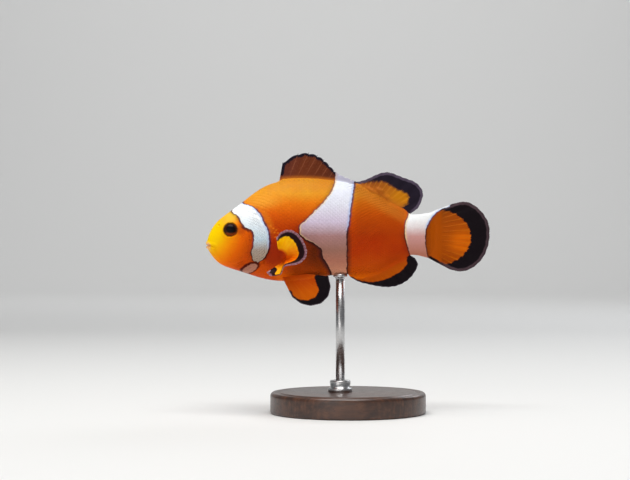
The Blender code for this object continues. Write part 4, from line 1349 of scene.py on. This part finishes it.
def fin_finish(fin, markings, fin_marks):
    """Moist fin, with fine lines along its rays."""
    material, tree, shader = new_material(fin.name.replace("_", " "), 0.5, Specular_IOR_Level=0.06)
    marks = use_group(tree, markings)
    inner, rim, root_reach = fin.inner, fin.rim, fin.root_reach
    if isinstance(inner[0], tuple):
        share = stored(tree, "along") * (1 / (fin.rays - 1))
        inner = colour_ramp(share, inner)
        if fin.glow:
            centre, size, tint = fin.glow
            bright = oval(*side_view(marks["Place"]), centre, size)
            inner = blended(ramp(bright, 1.2, 0.2, 0, 0.9), inner, tint)
        if fin.rear_reach:
            root_reach = ramp(share, 0.74, 0.84, root_reach, fin.rear_reach)
            rim = maths("MAXIMUM", ramp(share, 0.83, 0.79), ramp(share, 0.9, 0.95)) * rim
    given = use_group(tree, fin_marks, Inner=inner, Near_root=fin.near_root, Dark=fin.dark, Pale=fin.pale,
                      Ray=fin.ray, Web=fin.web, Rim=rim, Body=marks["Color" if fin.keeps_white else "Plain"],
                      Body_white=marks["White"] if fin.keeps_white else 0.0, Body_reach=fin.body_reach,
                      Root_reach=root_reach, Veil=0.6 * fin.spiny, Soft=fin.soft, Ragged=fin.ragged,
                      Pale_tips=fin.pale_tips, Place=marks["Place"])
    connect(shader, Base_Color=given["Color"], Normal=bump(given["Height"], 0.3))
    return material


def eye_finish():
    """Black pupil, dark brown iris that is warmer below as a painted highlight, and a clear wet surface."""
    material, tree, shader = new_material("eye", 0.35, Specular_IOR_Level=0.05, Coat_Weight=0.06,
                                          Coat_Roughness=0.05)
    place = place_of(tree, AXIS)
    x, z = side_view(place)
    radius = oval(x, z, (EYE_CENTRE[0], EYE_CENTRE[2] + 0.15), (1.15, 0.95))
    pupil, iris = 0.4 * PUPIL_RADIUS, 0.4 * IRIS_RADIUS
    colour = colour_ramp(radius * 0.4, [
        (0.0, (12, 9, 14)), (pupil - 0.02, (14, 10, 16)), (pupil + 0.02, (52, 26, 18)),
        (0.58, (38, 18, 16)), (iris, (26, 14, 16)), (0.8, (20, 12, 12))])
    fleck = noise(place, 3.2, 3.0) * 0.5 * ramp(radius, PUPIL_RADIUS, 1.4)
    colour = blended(fleck, colour, (74, 38, 20))
    # Painted highlight: a warmer crescent on the lower iris.
    low = ramp(z, EYE_CENTRE[2] - 0.6, EYE_CENTRE[2] - 1.1) * ramp(radius, PUPIL_RADIUS, PUPIL_RADIUS + 0.15)
    connect(shader, Base_Color=blended(low, colour, (124, 58, 18)))
    return material


def rim_finish():
    """Dark soft skin round the eye, warmer below it."""
    material, tree, shader = new_material("eye rim", 0.4, Specular_IOR_Level=0.1)
    place = place_of(tree, AXIS)
    colour = blended(ramp(noise(place, 2.0), 0.3, 0.7), (34, 16, 12), (60, 26, 14))
    low = ramp(side_view(place)[1], EYE_CENTRE[2] - 0.5, EYE_CENTRE[2] - 1.3)
    connect(shader, Base_Color=blended(low, colour, (138, 50, 6)))
    return material


def wood_finish():
    """Dark stained wood, with the long grain and the pores of a board."""
    material, tree, shader = new_material("dark wood", 0.4, Coat_Weight=0.35, Coat_Roughness=0.18)
    place = place_of(tree)
    long_way = stretched(place, (0.05, 0.42, 0.3))
    grain = noise(long_way, 1.6, 4.0, 0.6)
    waves = {"Vector": long_way, "Scale": 1.1, "Distortion": 5.0, "Detail": 3.0}
    rings = add("ShaderNodeTexWave", waves, "Fac", bands_direction="Y")
    pores = noise(stretched(place, (0.25, 4.0, 4.0)), 1.5, 2.0)
    colour = blended(ramp(grain, 0.3, 0.7), (52, 30, 20), (92, 56, 36))
    colour = blended(rings * 0.4, colour, (44, 24, 16))
    colour = blended(ramp(pores, 0.42, 0.3, 0, 0.5), colour, (26, 14, 10))
    connect(shader, Base_Color=colour, Roughness=ramp(pores, 0.3, 0.6, 0.52, 0.36),
            Normal=bump(pores, 0.3, 0.0001))
    return material


def steel_finish():
    """Steel with the fine rings that turning leaves."""
    material, tree, shader = new_material("turned steel", 0.3, Metallic=1.0)
    rings = noise(stretched(place_of(tree), (0.3, 0.3, 9.0)), 1.6, 3.0)
    connect(shader, Base_Color=blended(rings, (176, 176, 178), (206, 206, 206)),
            Roughness=ramp(rings, 0.3, 0.7, 0.22, 0.38), Normal=bump(rings, 0.05, 0.00002))
    return material


def floor_finish():
    """Matt and nearly white."""
    material, _, shader = new_material("pale floor", 0.7)
    shader.inputs["Base Color"].default_value = (0.80, 0.80, 0.79, 1)
    return material


bpy.context.scene.view_settings.view_transform = "Standard"
make_camera()
make_light()
make_floor(floor_finish())
markings = build_markings()
skin = make_skin(skin_finish(markings))
finished(skin, "orange_skin", "head", "lower_jaw", "gill_cover_left", "gill_cover_right", "trunk",
         "tail_stalk")

fin_marks_group = build_fin_marks()
fin_rays = rays_tree()
for fin in FINS:
    finish = fin_finish(fin, markings, fin_marks_group)
    slot = "brown_fin" if fin.spiny else "orange_fin"
    for side, ending in SIDES if len(fin.root[0]) == 3 else ((1, ""),):
        node = fin.name + ending
        finished(make_fin(fin, side, "fish_" + node, fin_rays, finish), slot, node)

eye_material, rim_material = eye_finish(), rim_finish()
for side, ending in SIDES:
    finished(make_eye("fish_eye" + ending, side, eye_material), "eye", "eye" + ending)
    finished(make_eye_rim("eye_rim" + ending, side, rim_material), "orange_skin")

plate = scale_plate()
scale_tree = scales_tree()
scale_material = scale_finish(markings)
for side, ending in SIDES:
    finished(make_scales("scales" + ending, side, scale_tree, plate, skin, scale_material), "orange_skin")
bpy.data.objects.remove(plate)

make_stand(wood_finish(), steel_finish())
